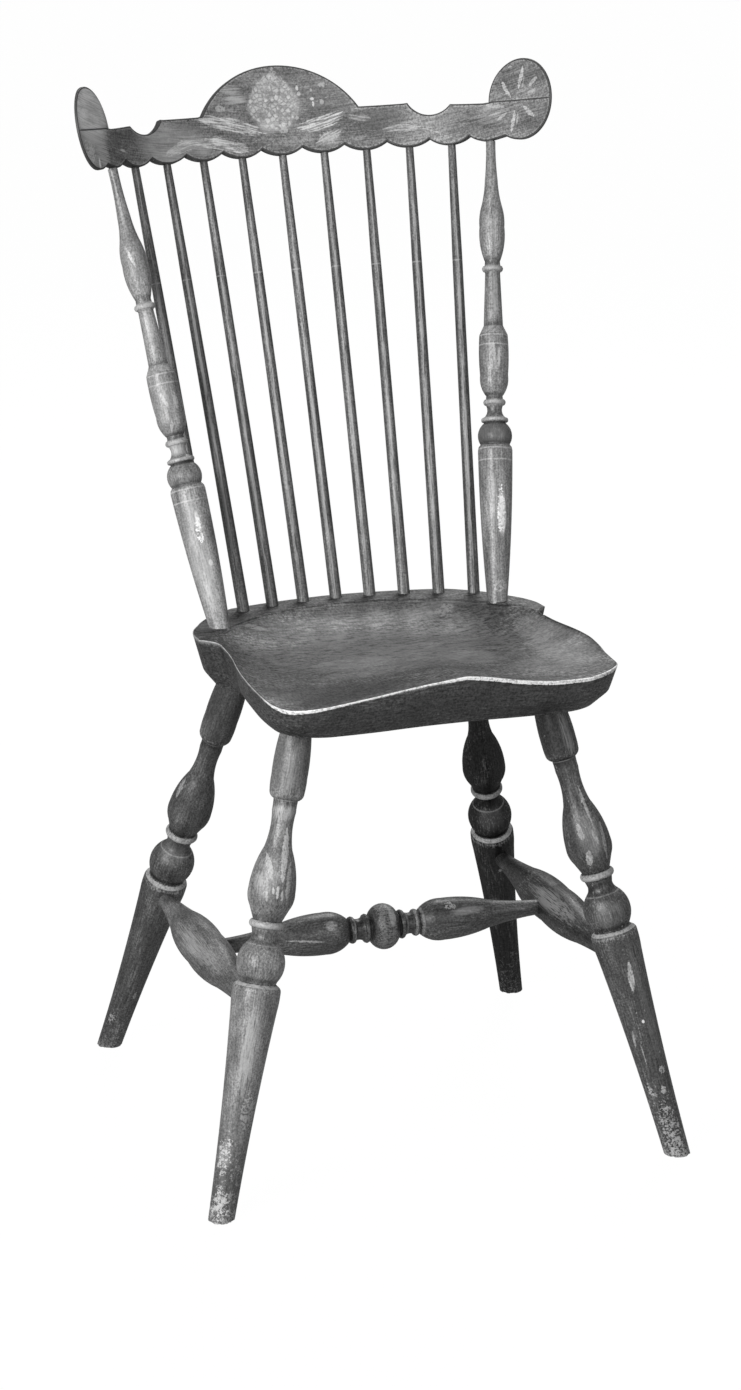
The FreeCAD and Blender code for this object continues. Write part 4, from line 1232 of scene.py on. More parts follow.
LEGS = {
    "front_left": LegPlan((-218.0, -213.0), 1.0, 0.135, 0.5, 0.4, (
        Smudge(0, 34, 22, 34, 0.65, 0.05), Scratches(-1, 45, 5, 26, 0.35, 0.4),
        Scratches(0, 82, 13, 8, 0.5), Smudge(4, 140, 12, 20, 0.3, 0.42),
        Petal(-5.2, 93, -8.4, 142, 6, 0.7), Petal(9.4, 118, 1, 140, 6, 0.45),
        Petal(-12.3, 122, -14.4, 158, 4, 0.5), Petal(-5.2, 144, -6, 157, 3.4, 0.9),
        Petal(-1, 146, -2.4, 153, 2.4, 0.7), Petal(4, 150, 2.5, 160, 3, 0.4),
        Petal(-9.4, 148, -10.4, 158, 2.6, 0.6), Scratches(12, 143, 4, 10, 0.4),
        Scratches(-1, 290, 7, 46, 0.5, 0.45), Smudge(-4, 280, 8, 40, 0.2, 0.4),
        Smudge(0, 418, 20, 60, 0.85, 0.04), Chips(-9, 345, 8, 26, 0.7, 0.42),
        Smudge(-4, 350, 14, 20, 0.4, 0.09), Chips(5, 384, 9, 22, 0.9, 0.55),
        Smudge(5, 384, 7, 14, 0.3, 0.45), Chips(3, 428, 10, 20, 0.9, 0.5))),
    "front_right": LegPlan((210.5, -217.0), -8.5, 0.045, 0.34, 0.4, (
        Smudge(0, 30, 20, 44, 0.7, 0.012), Scratches(-8, 40, 5, 26, 0.4, 0.3),
        Petal(-4.6, 86, -7.4, 123, 3.4, 0.5), Petal(5.6, 119, 4.6, 134, 6, 0.35),
        Petal(2.4, 144, 4.6, 159, 6.6, 0.5), Petal(5.8, 146, 1.8, 157, 2.4, 0.5),
        Petal(-14.8, 122, -12, 158, 3.4, 0.4), Petal(-5.2, 128, -7.9, 142, 3.6, 0.4),
        # The second smudge below, on the front of the ball, is a painted highlight.
        Smudge(-2, 132, 12, 26, 0.35, 0.3), Smudge(0, 206, 16, 13, 0.3, 0.3),
        Petal(-4.4, 252, -1, 281, 5.4, 0.7), Petal(-5.6, 262, -4, 278, 1.6, 0.6),
        Dab(-2.4, 309.8, 1.4, 1.7, 0.9, 0.8), Petal(8.9, 315, 10.3, 333, 2.6, 0.45),
        Petal(5.5, 330, 4.8, 352, 1.8, 0.45), Chips(-6.7, 358.6, 3, 5, 0.6),
        Chips(-3.1, 376.7, 3.4, 5, 0.7), Chips(8, 376, 3.4, 9, 0.6), Chips(0, 415, 11, 34, 0.8, 0.36),
        Smudge(-9, 300, 5, 60, 0.2, 0.3))),
    "rear_left": LegPlan((-212.5, 214.0), 9.5, 0.05, 0.28, 0.2, (
        Smudge(0, 34, 20, 44, 0.5, 0.04), Chips(-8.9, 377.4, 2.4, 6, 0.45, 0.4),
        Chips(5.9, 412, 5, 8, 0.7, 0.4), Petal(13, 126, 15.6, 147, 4, 0.4),
        # The smudge below, on the front of the ball, is a painted highlight.
        Smudge(2, 206, 16, 14, 0.3, 0.26))),
    "rear_right": LegPlan((211.6, 217.0), -2.0, 0.01, 0.14, 0.2, (
        # The smudge below, on the front of the ball, is a painted highlight.
        Dab(-3, 270, 2, 2, 0.5, 0.4), Smudge(0, 205, 14, 12, 0.3, 0.16)))}


@dataclass
class TurnedLeg(Turning):
    """A leg, cut level with the floor."""

    def trim(self, mesh: bmesh.types.BMesh) -> None:
        """Cut the leg at the floor and chip the rim of its foot.

        Args:
            mesh: The leg in the chair's frame, in millimetres.
        """
        cut(mesh, (0, 0, 0), (0, 0, -1), True)
        cut(mesh, (0, 0, 2.5), (0, 0, 1))
        rim = [edge for edge in mesh.edges if edge.is_boundary]
        sole = bmesh.ops.edgeloop_fill(mesh, edges=rim)["faces"]
        bmesh.ops.inset_region(mesh, faces=sole, thickness=1.6)
        worn = mesh.verts.layers.float["exposure"]
        ring = {vert for face in sole for edge in face.edges for other in edge.link_faces if other not in sole
                for vert in other.verts if vert.co.z < 0.1} - {vert for face in sole for vert in face.verts}
        for vert in ring:
            chip = noise.noise(vert.co * 0.16 + Vector((self.start.x, self.start.y, 0.0)))
            vert.co.z += max(0.15, min(2.2, chip * 5.0))
            vert[worn] = 1.0
        bmesh.ops.recalc_face_normals(mesh, faces=mesh.faces)


@dataclass
class Undercarriage:
    """Four splayed legs, two side stretchers and the stretcher between them."""

    front_top: Point = (114.6, -130.8)
    rear_top: Point = (113.3, 64.6)
    front_joint: float = 255.5
    rear_joint: float = 262.5

    def ends(self, leg: str) -> tuple[Vector, Vector]:
        """Find the ends of a leg's axis.

        Args:
            leg: The leg's key in LEGS.

        Returns:
            Where it leaves the seat and where it meets the floor.
        """
        x, y = self.front_top if leg.startswith("front") else self.rear_top
        foot = LEGS[leg].foot
        return seat_place(-x if leg.endswith("left") else x, y, 0.0), Vector((foot[0], foot[1] - MIDDLE, 0.0))

    def joint(self, leg: str) -> Vector:
        """Find where the side stretcher enters a leg.

        Args:
            leg: The leg's key in LEGS.

        Returns:
            The place on the leg's axis.
        """
        top, foot = self.ends(leg)
        length = self.front_joint if leg.startswith("front") else self.rear_joint
        return top + (foot - top).normalized() * length

    def leg_rows(self, reach: float, shift: float) -> list[Row]:
        """Draw the profile of a leg.

        Args:
            reach: Length of its axis from the seat to the floor.
            shift: How much lower its pattern starts.

        Returns:
            The rows, from its tenon down.
        """
        rows = running([
            (-22, 10.6, None), (22, 11.6, .03), (50 + shift / 2, 15.8, .02), (13 + shift / 2, 15.4, .16),
            (7, 10.8, -.02), (10, 10.6, -.05), (33, 12.5, .05), (37, 20.7, .08), (15, 17.5, None),
            (11, 12.8, .38), (7.5, 12.8, None), (6, 11.3, -.1), (7, 14.2, .18), (32, 16.8, None),
            (2.2, 16.0, None), (3, 20.0, .1), (4, 21.2, .02), (16, 20.5, -.008)])
        return rows + [(reach + 9.0, 11.4, None)]

    def side_rows(self, whole: float) -> list[Row]:
        """Profile of a side stretcher: thin ends and one long swell."""
        return both_ways([(9, 6.4, None), (24, 7.4, -.01), (24 + (whole / 2 - 24) * .5, 14.8, .035),
                          (whole / 2, 19.6, .035)], whole)

    def middle_rows(self, whole: float) -> list[Row]:
        """Draw the profile of the middle stretcher: a ball between rings and coves, two swells.

        Args:
            whole: Its length.

        Returns:
            The rows, left to right.
        """
        ball = whole / 2 - 13.5
        half = [(8, 6.2, None), (ball - 137.5, 7.2, -.02), (ball - 90.5, 13.2, .04), (ball - 44.5, 19.7, .12),
                (ball - 20.5, 10.3, .42), (ball - 14.5, 10.3, -.12), (ball - 6.5, 11.2, .46),
                (ball - 1, 11.2, None), (ball, 11.5, None)]
        rows = both_ways(half, whole)
        rows[len(half) - 1] = (ball, 11.5, 10.0 / 27.0)
        return rows

    def leg(self, name: str, seed: float) -> bpy.types.Object:
        """Turn, paint and place a leg.

        Args:
            name: The leg's key in LEGS.
            seed: Where its paint's textures are read, so that legs differ.

        Returns:
            The finished piece.
        """
        plan = LEGS[name]
        top, foot = self.ends(name)
        reach = (foot - top).length
        rings = ((70.3, 1.2, 0.2), (179.8, 6.4, 0.45), (197.5, 1.0, 0.25), (232.8, 2.6, 0.6))
        paint = TurnedPaint(f"{name}_leg_paint", tone=plan.tone, varnish=plan.varnish, seed=seed,
                            foot=reach - 40.0, scuffed=plan.scuffed, marks=plan.marks,
                            bands=tuple(Band(at + plan.shift, *rest) for at, *rest in rings))
        rows = self.leg_rows(reach, plan.shift)
        return TurnedLeg(f"{name}_turned_leg", f"{name}_leg", top, foot, rows, Slot.LEG).build(paint.make())

    def build(self) -> list[bpy.types.Object]:
        """Turn and place the legs and stretchers.

        Returns:
            The finished pieces.
        """
        made = [self.leg(name, 10.0 * index + 4.0) for index, name in enumerate(LEGS)]
        middles = []
        for side, seed, tone, pale in (("left", 60.0, 0.11, (0.34, 0.3)),
                                       ("right", 69.0, 0.022, (0.16, 0.14))):
            start, end = self.joint(f"front_{side}"), self.joint(f"rear_{side}")
            middles.append((start + end) / 2.0)
            paint = TurnedPaint(f"{side}_stretcher_paint", seed=seed, tone=tone, varnish=0.28, marks=(
                Smudge(-2, 150, 9, 34, 0.35, pale[0]), Smudge(4, 100, 8, 26, 0.25, pale[1]),
                Scratches(0, 140, 10, 60, 0.4, 0.35)))
            made.append(Turning(f"{side}_turned_stretcher", f"{side}_side_stretcher", start, end,
                                self.side_rows((end - start).length), Slot.STRETCHER).build(paint.make()))
        whole = (middles[1] - middles[0]).length
        rings = tuple(Band(at, 2.0, 0.3) for at in (141.6, 192.9, 208.0, whole - 141.6))
        paint = TurnedPaint("medial_stretcher_paint", seed=81.0, tone=0.045, bands=rings, marks=(
            Chips(-7.5, 117, 6, 8, 0.65, 0.36), Dab(-7, 117, 5, 6, 0.5, 0.34), Petal(1, 70, 7, 112, 2.4, 0.4),
            # The last smudge, on the right swell, is a painted highlight.
            Dab(-9, 176, 8, 3.6, 0.6, 0.4), Chips(-12, 234, 5, 7, 0.7, 0.45), Smudge(-6, 250, 4, 18, 0.4)))
        made.append(Turning("ball_turned_stretcher", "medial_stretcher", *middles, self.middle_rows(whole),
                            Slot.STRETCHER).build(paint.make()))
        return made


def both_ways(half: list[Row], whole: float) -> list[Row]:
    """Complete a profile that is symmetric about the middle of its length.

    Args:
        half: Its rows up to the middle.
        whole: Its whole length.

    Returns:
        All its rows.
    """
    rows = list(half)
    for index in range(len(half) - 1, -1, -1):
        length, radius, _ = half[index]
        if length * 2.0 < whole - 0.001:
            rows.append((whole - length, radius, half[index - 1][2] if index else None))
    return rows


# The crest

@dataclass
class CrestRail:
    """The scalloped crest rail, sawn from a bent board, with its arch, coves and round ears.

    Its own places are the run along the board from the middle, the height up the board and the depth into
    it, from -5 in front to 5 behind.
    """

    middle_radius: float = 340.0
    middle_turn: float = math.radians(21.0)
    end_radius: float = 140.0
    end_turn: float = math.radians(39.0)
    half: float = 5.0
    middle_depth: float = 267.3
    middle_height: float = 857.5
    lean: float = math.radians(20.6)
    roll: float = math.radians(1.0)
    pitch: float = 40.8
    scallop: float = 6.4
    lobe_middle: float = -1.5
    lobe_fall: float = 16.8
    arch_half: float = 78.6
    arch_foot: float = 37.6
    ear_radius: float = 37.7
    ear_height: float = 11.3
    ear_out: float = 28.0
    ear_flat: float = 17.5
    grain_fall: float = math.radians(11.0)
    ear_bend: float = math.radians(6.0)
    bend_way: float = 24.0
    thinning: float = 0.7
    thinned_from: float = 196.0
    thinned_to: float = 282.0
    front_ease: float = 0.9
    back_ease: float = 4.3
    step: float = 1.6

    @property
    def middle_run(self) -> float:
        """Run from the middle to where the board bends more tightly."""
        return self.middle_radius * self.middle_turn

    @property
    def ear_joint(self) -> float:
        """Run from the middle to where the board is straight again, in the ear."""
        return self.middle_run + self.end_radius * self.end_turn

    @property
    def ear_centre(self) -> Point:
        """Run and height of the right ear's centre."""
        return self.ear_joint + self.ear_out, self.ear_height

    def lobe(self, run: float) -> float:
        """Height of the lower edge's lobes at a run."""
        return self.lobe_middle - self.lobe_fall * (run / (self.pitch * 5.0)) ** 2

    def plan(self, run: float, back: float) -> tuple[float, float]:
        """Bend the board; only the right ear bends on.

        Args:
            run: Place along the board.
            back: Place across its thickness.

        Returns:
            The plan place, to the right and to the back of the middle.
        """
        out = math.copysign(1.0, run)
        bend = self.ear_bend if run > 0.0 else 0.0
        run = abs(run)
        turn, hub, way = self.middle_turn, self.middle_radius - self.end_radius, self.bend_way
        if run <= self.middle_run:
            angle, reach = run / self.middle_radius, self.middle_radius + back
            return math.sin(angle) * reach * out, math.cos(angle) * reach - self.middle_radius
        angle = turn + min(run - self.middle_run, self.ear_joint - self.middle_run) / self.end_radius
        rest = max(0.0, run - self.ear_joint)
        more = bend * min(rest / way, 1.0)
        reach = self.end_radius - bend * (rest * rest / (2.0 * way) if rest < way else rest - way / 2.0)
        x = (math.sin(turn) * hub + math.sin(angle) * reach + rest * math.cos(angle)
             + back * math.sin(angle + more))
        y = (math.cos(turn) * hub + math.cos(angle) * reach - rest * math.sin(angle)
             + back * math.cos(angle + more))
        return x * out, y - self.middle_radius

    def thinned(self, run: float, back: float) -> float:
        """Depth of a point once the board is planed thinner toward the ears, on its front."""
        return back + (self.half - back) * self.thinning * smooth(self.thinned_from, self.thinned_to, abs(run))

    def board_place(self, run: float, height: float, back: float) -> Vector:
        """Place a point of the board.

        Args:
            run: Place along the board.
            height: Place up the board.
            back: Place across its thickness.

        Returns:
            The point in the chair's frame, in millimetres.
        """
        x, y = self.plan(run, self.thinned(run, back))
        raised = height * math.cos(self.roll) + x * math.sin(self.roll)
        return Vector((x * math.cos(self.roll) - height * math.sin(self.roll),
                       self.middle_depth + y * math.cos(self.lean) + raised * math.sin(self.lean) - MIDDLE,
                       self.middle_height - y * math.sin(self.lean) + raised * math.cos(self.lean)))

    def glue_line(self) -> tuple[Point, Point]:
        """Cross the right ear with its slanting glue line.

        Returns:
            The line's ends, inner end first.
        """
        fall = math.tan(self.grain_fall)
        level = self.ear_flat - self.ear_radius * fall - self.ear_height
        square = 1.0 + fall * fall
        reach = math.sqrt(square * self.ear_radius ** 2 - level ** 2)
        ends = [(level * fall + sign * reach) / square for sign in (-1.0, 1.0)]
        return tuple((self.ear_centre[0] + x, self.ear_height + level - x * fall) for x in ends)

    def ear_arc(self, start: Point, finish: Point) -> list[Point]:
        """Follow the rim of the right ear, counter-clockwise.

        Args:
            start: First point.
            finish: Where the arc ends.

        Returns:
            The points from start up to, but without, finish.
        """
        centre = self.ear_centre
        first = math.atan2(start[1] - centre[1], start[0] - centre[0])
        last = math.atan2(finish[1] - centre[1], finish[0] - centre[0])
        if last < first:
            last += 2.0 * math.pi
        count = math.ceil((last - first) * self.ear_radius / self.step)
        angles = [first + (last - first) * i / count for i in range(count)]
        return [(centre[0] + math.cos(angle) * self.ear_radius, centre[1] + math.sin(angle) * self.ear_radius)
                for angle in angles]

    def rail_outline(self) -> list[Point]:
        """Draw the rail with the lower parts of both ears; its left half mirrors the right.

        Returns:
            The outline, counter-clockwise.
        """
        inner, outer = self.glue_line()
        bottom = self.lobe(self.pitch * 5.0)
        dip = self.ear_height - bottom
        meet = (self.ear_centre[0] - math.sqrt(self.ear_radius ** 2 - dip ** 2), bottom)
        rise = self.scallop
        scallops: list[Row] = [
            (self.pitch * count, self.lobe(self.pitch * count) + up, share) for count, up, share in (
                (0.5, rise, .16), (1.5, rise, .16), (2.5, rise, .078), (3.0, 0.0, .078), (3.5, rise, .16),
                (4.5, rise, .078), (5.0, 0.0, None))]
        lower = open_outline([*scallops, (*meet, None)], self.step) + self.ear_arc(meet, outer)
        arch = self.middle_radius * math.asin(self.arch_half / self.middle_radius)
        upper = open_outline([(*outer, None), (*inner, None), (self.pitch * 5.0, self.ear_flat + 0.6, None),
                              (168.4, 25.5, -.245), (126.4, 34.4, None), (122.4, 34.4, None),
                              (arch, self.arch_foot, None)], self.step, 3.0)
        crown = arc_points((arch, self.arch_foot), (-arch, self.arch_foot), .297, self.step)
        right = lower + upper
        left = [(-x, y) for x, y in reversed(right)]
        middle = arc_points(left[-1], right[0], .16, self.step)
        return right + crown + left + middle[1:]

    def cap_outline(self) -> list[Point]:
        """The outline of the right ear's cap, counter-clockwise."""
        inner, outer = self.glue_line()
        return self.ear_arc(outer, inner) + arc_points(inner, outer, None, 5.0)

    def glued(self, edge: bmesh.types.BMEdge) -> bool:
        """Find the edges that the glue holds, which aren't eased.

        Args:
            edge: An edge of a flat outline.

        Returns:
            Whether it lies on an ear's glue line.
        """
        inner, outer = self.glue_line()
        way = (outer[0] - inner[0], outer[1] - inner[1])
        length = math.hypot(*way)
        ends = [(abs(vert.co.x) - inner[0], vert.co.z - inner[1]) for vert in edge.verts]
        return all(abs((x * way[1] - z * way[0]) / length) < 0.01 and x > -0.01 for x, z in ends)

    def board(self, name: str, node: str, outline: list[Point],
              material: bpy.types.Material) -> bpy.types.Object:
        """Saw an outline from the board, ease its rims and bend it.

        Args:
            name: Name of the piece.
            node: CAD node that it stands for.
            outline: Run and height of the corners, counter-clockwise seen from the front.
            material: Its finish.

        Returns:
            The finished piece.
        """
        mesh = bmesh.new()
        face = mesh.faces.new([mesh.verts.new((run, -self.half, height)) for run, height in outline])
        extruded = bmesh.ops.extrude_face_region(mesh, geom=[face])["geom"]
        moved = [item for item in extruded if isinstance(item, bmesh.types.BMVert)]
        bmesh.ops.translate(mesh, vec=(0.0, 2.0 * self.half, 0.0), verts=moved)
        bmesh.ops.recalc_face_normals(mesh, faces=mesh.faces)
        worn = mesh.verts.layers.float.new("exposure")
        for vert in mesh.verts:
            vert[worn] = 1.0
        for back, ease, segments in ((-self.half, self.front_ease, 2), (self.half, self.back_ease, 4)):
            rim = [edge for edge in mesh.edges if all(abs(vert.co.y - back) < 1e-4 for vert in edge.verts)
                   and not self.glued(edge)]
            soften(mesh, rim, ease, segments, False)
        for back, width, bare in ((-self.half, 0.8, 0.25), (-self.half, 2.0, 0.0), (self.half, 1.5, 0.0)):
            flats = [f for f in mesh.faces if all(abs(vert.co.y - back) < 1e-4 for vert in f.verts)
                     and len(f.verts) > 60]
            bmesh.ops.inset_region(mesh, faces=flats, thickness=width, use_even_offset=False)
            for vert in {vert for flat in flats for vert in flat.verts}:
                vert[worn] = bare
        lowest, highest = min(x for x, _ in outline), max(x for x, _ in outline)
        count = math.ceil((highest - lowest) / 4.0)
        for i in range(1, count):
            cut(mesh, (lowest + (highest - lowest) * i / count, 0, 0), (1, 0, 0))
        place = mesh.verts.layers.float_vector.new("place")
        for vert in mesh.verts:
            run, back, height = vert.co
            vert[place] = (run, back, height)
            vert.co = self.board_place(run, height, back) * MM
        return finish_mesh(name, mesh, node, Slot.CREST, material, 50.0)

    def build(self, finish: CrestPaint) -> list[bpy.types.Object]:
        """Make the rail and its two ear caps.

        Args:
            finish: The crest's finish.

        Returns:
            The finished pieces.
        """
        material = finish.make()
        cap = self.cap_outline()
        mirrored = [(-x, y) for x, y in reversed(cap)]
        return [self.board("scalloped_crest", "crest_rail", self.rail_outline(), material),
                self.board("left_glued_ear_cap", "left_ear_cap", mirrored, material),
                self.board("right_glued_ear_cap", "right_ear_cap", cap, material)]


# The posts and spindles

@dataclass(frozen=True)
class PostPlan:
    """What differs from post to post; the shift is how much higher the pattern stands than drawn."""

    shift: float
    tone: float
    dark_ball: float
    marks: tuple[Mark, ...]


POSTS = {
    Side.LEFT: PostPlan(-7.0, 0.195, 0.25, (
        Chips(-1, 346, 5, 12, 0.7, 0.6), Smudge(0, 350, 16, 40, 0.4, 0.12),
        Petal(-5, 357, 0.6, 335, 3.4, 0.6), Petal(-4, 218, 0.8, 203, 4, 0.6),
        Petal(0.8, 192, -1.6, 182, 3.4, 0.6), Petal(8.8, 218, 8.4, 200, 4, 0.5),
        Smudge(-2, 210, 12, 30, 0.35, 0.4), Smudge(0, 166, 12, 7, 0.7, 0.6),
        Smudge(-2, 66, 11, 66, 0.6, 0.46), Chips(2.6, 90, 4.6, 20, 1, 0.8), Dab(3, 98, 2, 9, 0.6, 0.75),
        Chips(6.6, 57.6, 2.6, 4, 0.8, 0.75), Dab(6, 58, 2, 3.4, 0.7, 0.7), Scratches(-1, 36, 3, 10, 0.6),
        Smudge(0, 280, 4, 26, 0.3))),
    Side.RIGHT: PostPlan(7.0, 0.165, 0.75, (
        Petal(-2, 388, -1.9, 364, 3, 0.45), Smudge(0.7, 350, 4, 14, 0.3), Smudge(2, 288, 3, 24, 0.4),
        Petal(-1, 243, 2.4, 212, 4, 0.5), Petal(4.6, 237, 4, 218, 3.6, 0.5),
        Chips(4.5, 84, 5, 28, 1, 0.85), Dab(5, 80, 4, 20, 0.6, 0.75), Petal(2, 104, 7, 62, 4, 0.6),
        Smudge(-2, 90, 4, 26, 0.3), Chips(3, 12, 8, 8, 0.4)))}


@dataclass
class SpindleBack:
    """Two turned posts and nine tapered spindles between the seat's deck and the crest."""

    crest: CrestRail
    post_foot: Point = (134.7, 43.8)
    foot_pitch: float = 33.3
    foot_narrowing: float = 0.013
    foot_depth: float = 118.8
    foot_bow: float = 0.0021
    spindles: int = 9

    def socket(self, count: int, out: float) -> Vector:
        """Where a spindle or post enters the crest, counted from the middle."""
        run = self.crest.pitch * count
        return self.crest.board_place(run * out, self.crest.lobe(run), 0.0)

    def post_rows(self, reach: float, shift: float) -> list[Row]:
        """Draw the profile of a post.

        Args:
            reach: Length of its axis from the seat to the crest.
            shift: How much higher its pattern stands.

        Returns:
            The rows, from its tenon in the seat up.
        """
        rows = running([
            (-24, 8.4, None), (24, 9.4, .01), (134 + shift, 16.2, None), (3, 15.6, None), (2.5, 13.6, .2),
            (20.5, 9.8, None), (1.2, 12.4, .1), (3, 12.4, None), (1.2, 9.8, -.15), (10, 7.4, None),
            (1.2, 8.0, .44), (6, 8.0, None), (3, 7.7, .1), (20, 13.2, .02), (38, 13.4, None), (9, 9.1, None),
            (50, 7.1, None), (1.2, 7.4, .42), (6.2, 7.4, None), (4, 7.1, .06), (33, 11.8, .04),
            (18, 10.3, -.03), (27, 6.1, -.015)])
        return rows + [(reach, 4.5, None), (reach, 3.4, None), (reach + 18, 3.4, None)]

    def spindle_rows(self, reach: float) -> list[Row]:
        """Profile of a plain tapered spindle."""
        return [(-18, 5.3, None), (0, 5.7, None), (reach * .74, 4.8, None), (reach, 3.7, None),
                (reach, 2.8, None), (reach + 16, 2.8, None)]

    def post(self, side: Side) -> bpy.types.Object:
        """Turn, paint and place a post.

        Args:
            side: Which one.

        Returns:
            The finished piece.
        """
        plan = POSTS[side]
        name = side.name.lower()
        foot = seat_place(self.post_foot[0] * side.value, self.post_foot[1], SEAT_THICKNESS)
        top = self.socket(5, side.value)
        rings = ((124, 1.3, 0.6), (135, 1.3, 0.6), (242.6, 1.3, 0.6), (233.5, 1.3, 0.6),
                 (162.7, 3.4, 0.3, 0.5), (179.6, 6.0, 0.35, 0.5), (307, 6.5, 0.35),
                 (150, 21.0, plan.dark_ball, 0.04), (248, 7.0, 0.3, 0.5))
        paint = TurnedPaint(f"{name}_post_paint", tone=plan.tone, varnish=0.5, seed=100.0 + side.value * 7.0,
                            bands=tuple(Band(at + plan.shift, *rest) for at, *rest in rings),
                            marks=plan.marks)
        return Turning(f"{name}_turned_post", f"{name}_post", foot, top,
                       self.post_rows((top - foot).length, plan.shift), Slot.POST).build(paint.make())

    def spindle(self, number: int) -> bpy.types.Object:
        """Turn, paint and place a spindle.

        Args:
            number: Which one, from 1 at the viewer's left.

        Returns:
            The finished piece.
        """
        middle = (self.spindles + 1) // 2
        count = abs(number - middle)
        out = -1.0 if number < middle else 1.0
        width = self.foot_pitch * count * (1.0 - self.foot_narrowing * count)
        foot = seat_place(width * out, self.foot_depth - width * width * self.foot_bow, SEAT_THICKNESS)
        top = self.socket(count, out)
        reach = (top - foot).length
        # The pale scratches down each spindle's front middle are wear and a painted highlight of its lit
        # middle.
        paint = TurnedPaint(f"spindle_{number}_paint", tone=0.075, seed=200.0 + 13.0 * number, scratches=0.7,
                            bands=(Band(reach * 0.74, 1.4, 0.35),), marks=(
                                Scratches(0.3, reach * 0.5, 1.5, reach * 0.6, 0.6),
                                Smudge(-1, reach * 0.3, 2, reach * 0.2, 0.3)))
        return Turning(f"tapered_spindle_{number}", f"spindle_{number}", foot, top, self.spindle_rows(reach),
                       Slot.SPINDLE, segments=28).build(paint.make())

    def build(self) -> list[bpy.types.Object]:
        """Make the posts and spindles."""
        return [self.post(side) for side in Side] + [self.spindle(n) for n in range(1, self.spindles + 1)]


# Crest wear, stencil and painted light by run and height; seat wear and painted shade in the plank's own frame
CREST_WEAR_AND_LIGHT_MARKS = (
    # The first smudge, on the left ear's cap, is paler worn paint and painted light for the dimly lit cap.
    Smudge(-255, 28, 44, 36, 1, 0.85), Chips(-266, 22, 7, 6, 0.8, 0.8),
    Smudge(-256, -10, 36, 24, 0.6, 0.5), Chips(-262, -14, 20, 16, 0.8, 0.6),
    Dab(-243.2, -21, 2.2, 6, 0.9, 0.9), Scratches(-232, -8, 16, 18, 0.7, 0.5),
    Smudge(-120, 10, 44, 22, 0.75, 0.55), Scratches(-187, 0, 6, 1.6, 0.7, 0.7),
    Scratches(-46, 63, 12, 5, 0.5, 0.5), Scratches(-42, 53, 13, 7, 0.6), Chips(-1, 77, 5, 9, 0.5),
    Chips(-60, 45, 8, 5, 0.5), Smudge(50, 50, 26, 26, 0.35, 0.15), Smudge(98, 24, 30, 14, 0.65, 0.09),
    Dab(21.8, 61.2, 1.5, 2.6, 0.9, 0.6), Dab(23, 55.3, 1.8, 2.2, 0.8, 0.55),
    Dab(35.3, 58.1, 1.2, 1.8, 0.7, 0.5), Dab(35.2, 49.4, 2.2, 1.6, 0.9, 0.65),
    Dab(35.6, 44.5, 1.3, 2.8, 0.9, 0.65), Dab(44.4, 45.6, 2.2, 2.6, 0.7, 0.5),
    Chips(47, 62, 6, 3, 0.6, 0.5), Scratches(215, 8, 26, 12, 0.3, 0.42))
LEAVES = (
    Leaf(-84, 35, -19, 20.5, 15, 0.75, 2), Petal(-82, 33, -30, 30.5, 1.6, 0.6, 2),
    Petal(-78, 30, -24, 22, 1.5, 0.6, -2), Leaf(-92, 13, -34, 4.4, 14, 0.75, 2),
    Petal(-90, 14, -40, 9, 1.6, 0.6, 3), Leaf(-126, 0, -84, 12, 12, 0.55, 2),
    Smudge(-83, 6, 7, 6.4, 0.45, 0.5), Petal(-118, 5.7, -90, 13, 1.6, 0.5, 2),
    Leaf(17, 22, 66, 33, 13, 0.75, -1.5), Petal(19, 24, 62, 36.5, 1.5, 0.55),
    Petal(20, 20, 60, 25, 1.5, 0.5, -1.5), Leaf(33, 6, 60, 17, 10, 0.5), Smudge(48, 9, 10, 8, 0.5, 0.45),
    Chips(46, 10, 12, 9, 0.6), Leaf(98, 11.5, 138, 8, 9, 0.35, 2), Petal(135, 8.5, 165, -8, 2.4, 0.35, 2),
    Leaf(66, 30, 90, 24, 8, 0.35), Petal(-34, 3, -4, 16, 1.4, 0.35, -3), Chips(2, 24, 9, 7, 0.5, 0.6),
    Smudge(-12, 25, 10, 8, 0.5, 0.55))
PINWHEEL = (
    Petal(246.2, 19.5, 256.4, 40.8, 4.7, 0.8, -0.6), Petal(260.5, 20, 271.5, 26.4, 4.7, 0.6, 0.5),
    Petal(255, 13.8, 268.5, 15.4, 4.2, 0.45), Petal(250.5, 4, 261.6, -9.2, 4.9, 0.7, -0.5),
    Petal(239.6, 3.2, 231.8, -17.2, 4.4, 0.8, 0.5), Petal(242.9, 0.2, 239.2, -11.4, 2.9, 0.5),
    Petal(230, 2.6, 217.8, -1.9, 3.9, 0.6), Petal(237.2, 15.2, 229.6, 32.6, 4.7, 0.75, 0.8),
    Petal(251.5, 20, 256, 31, 2.9, 0.4), Petal(230, 8, 206, 15.8, 3.9, 0.4),
    Petal(224, 5, 208, 4.6, 2.6, 0.35), Petal(238, 44, 244, 43.6, 2.3, 0.6),
    Dab(243.9, 12.4, 2, 2, 0.4, 0.5))
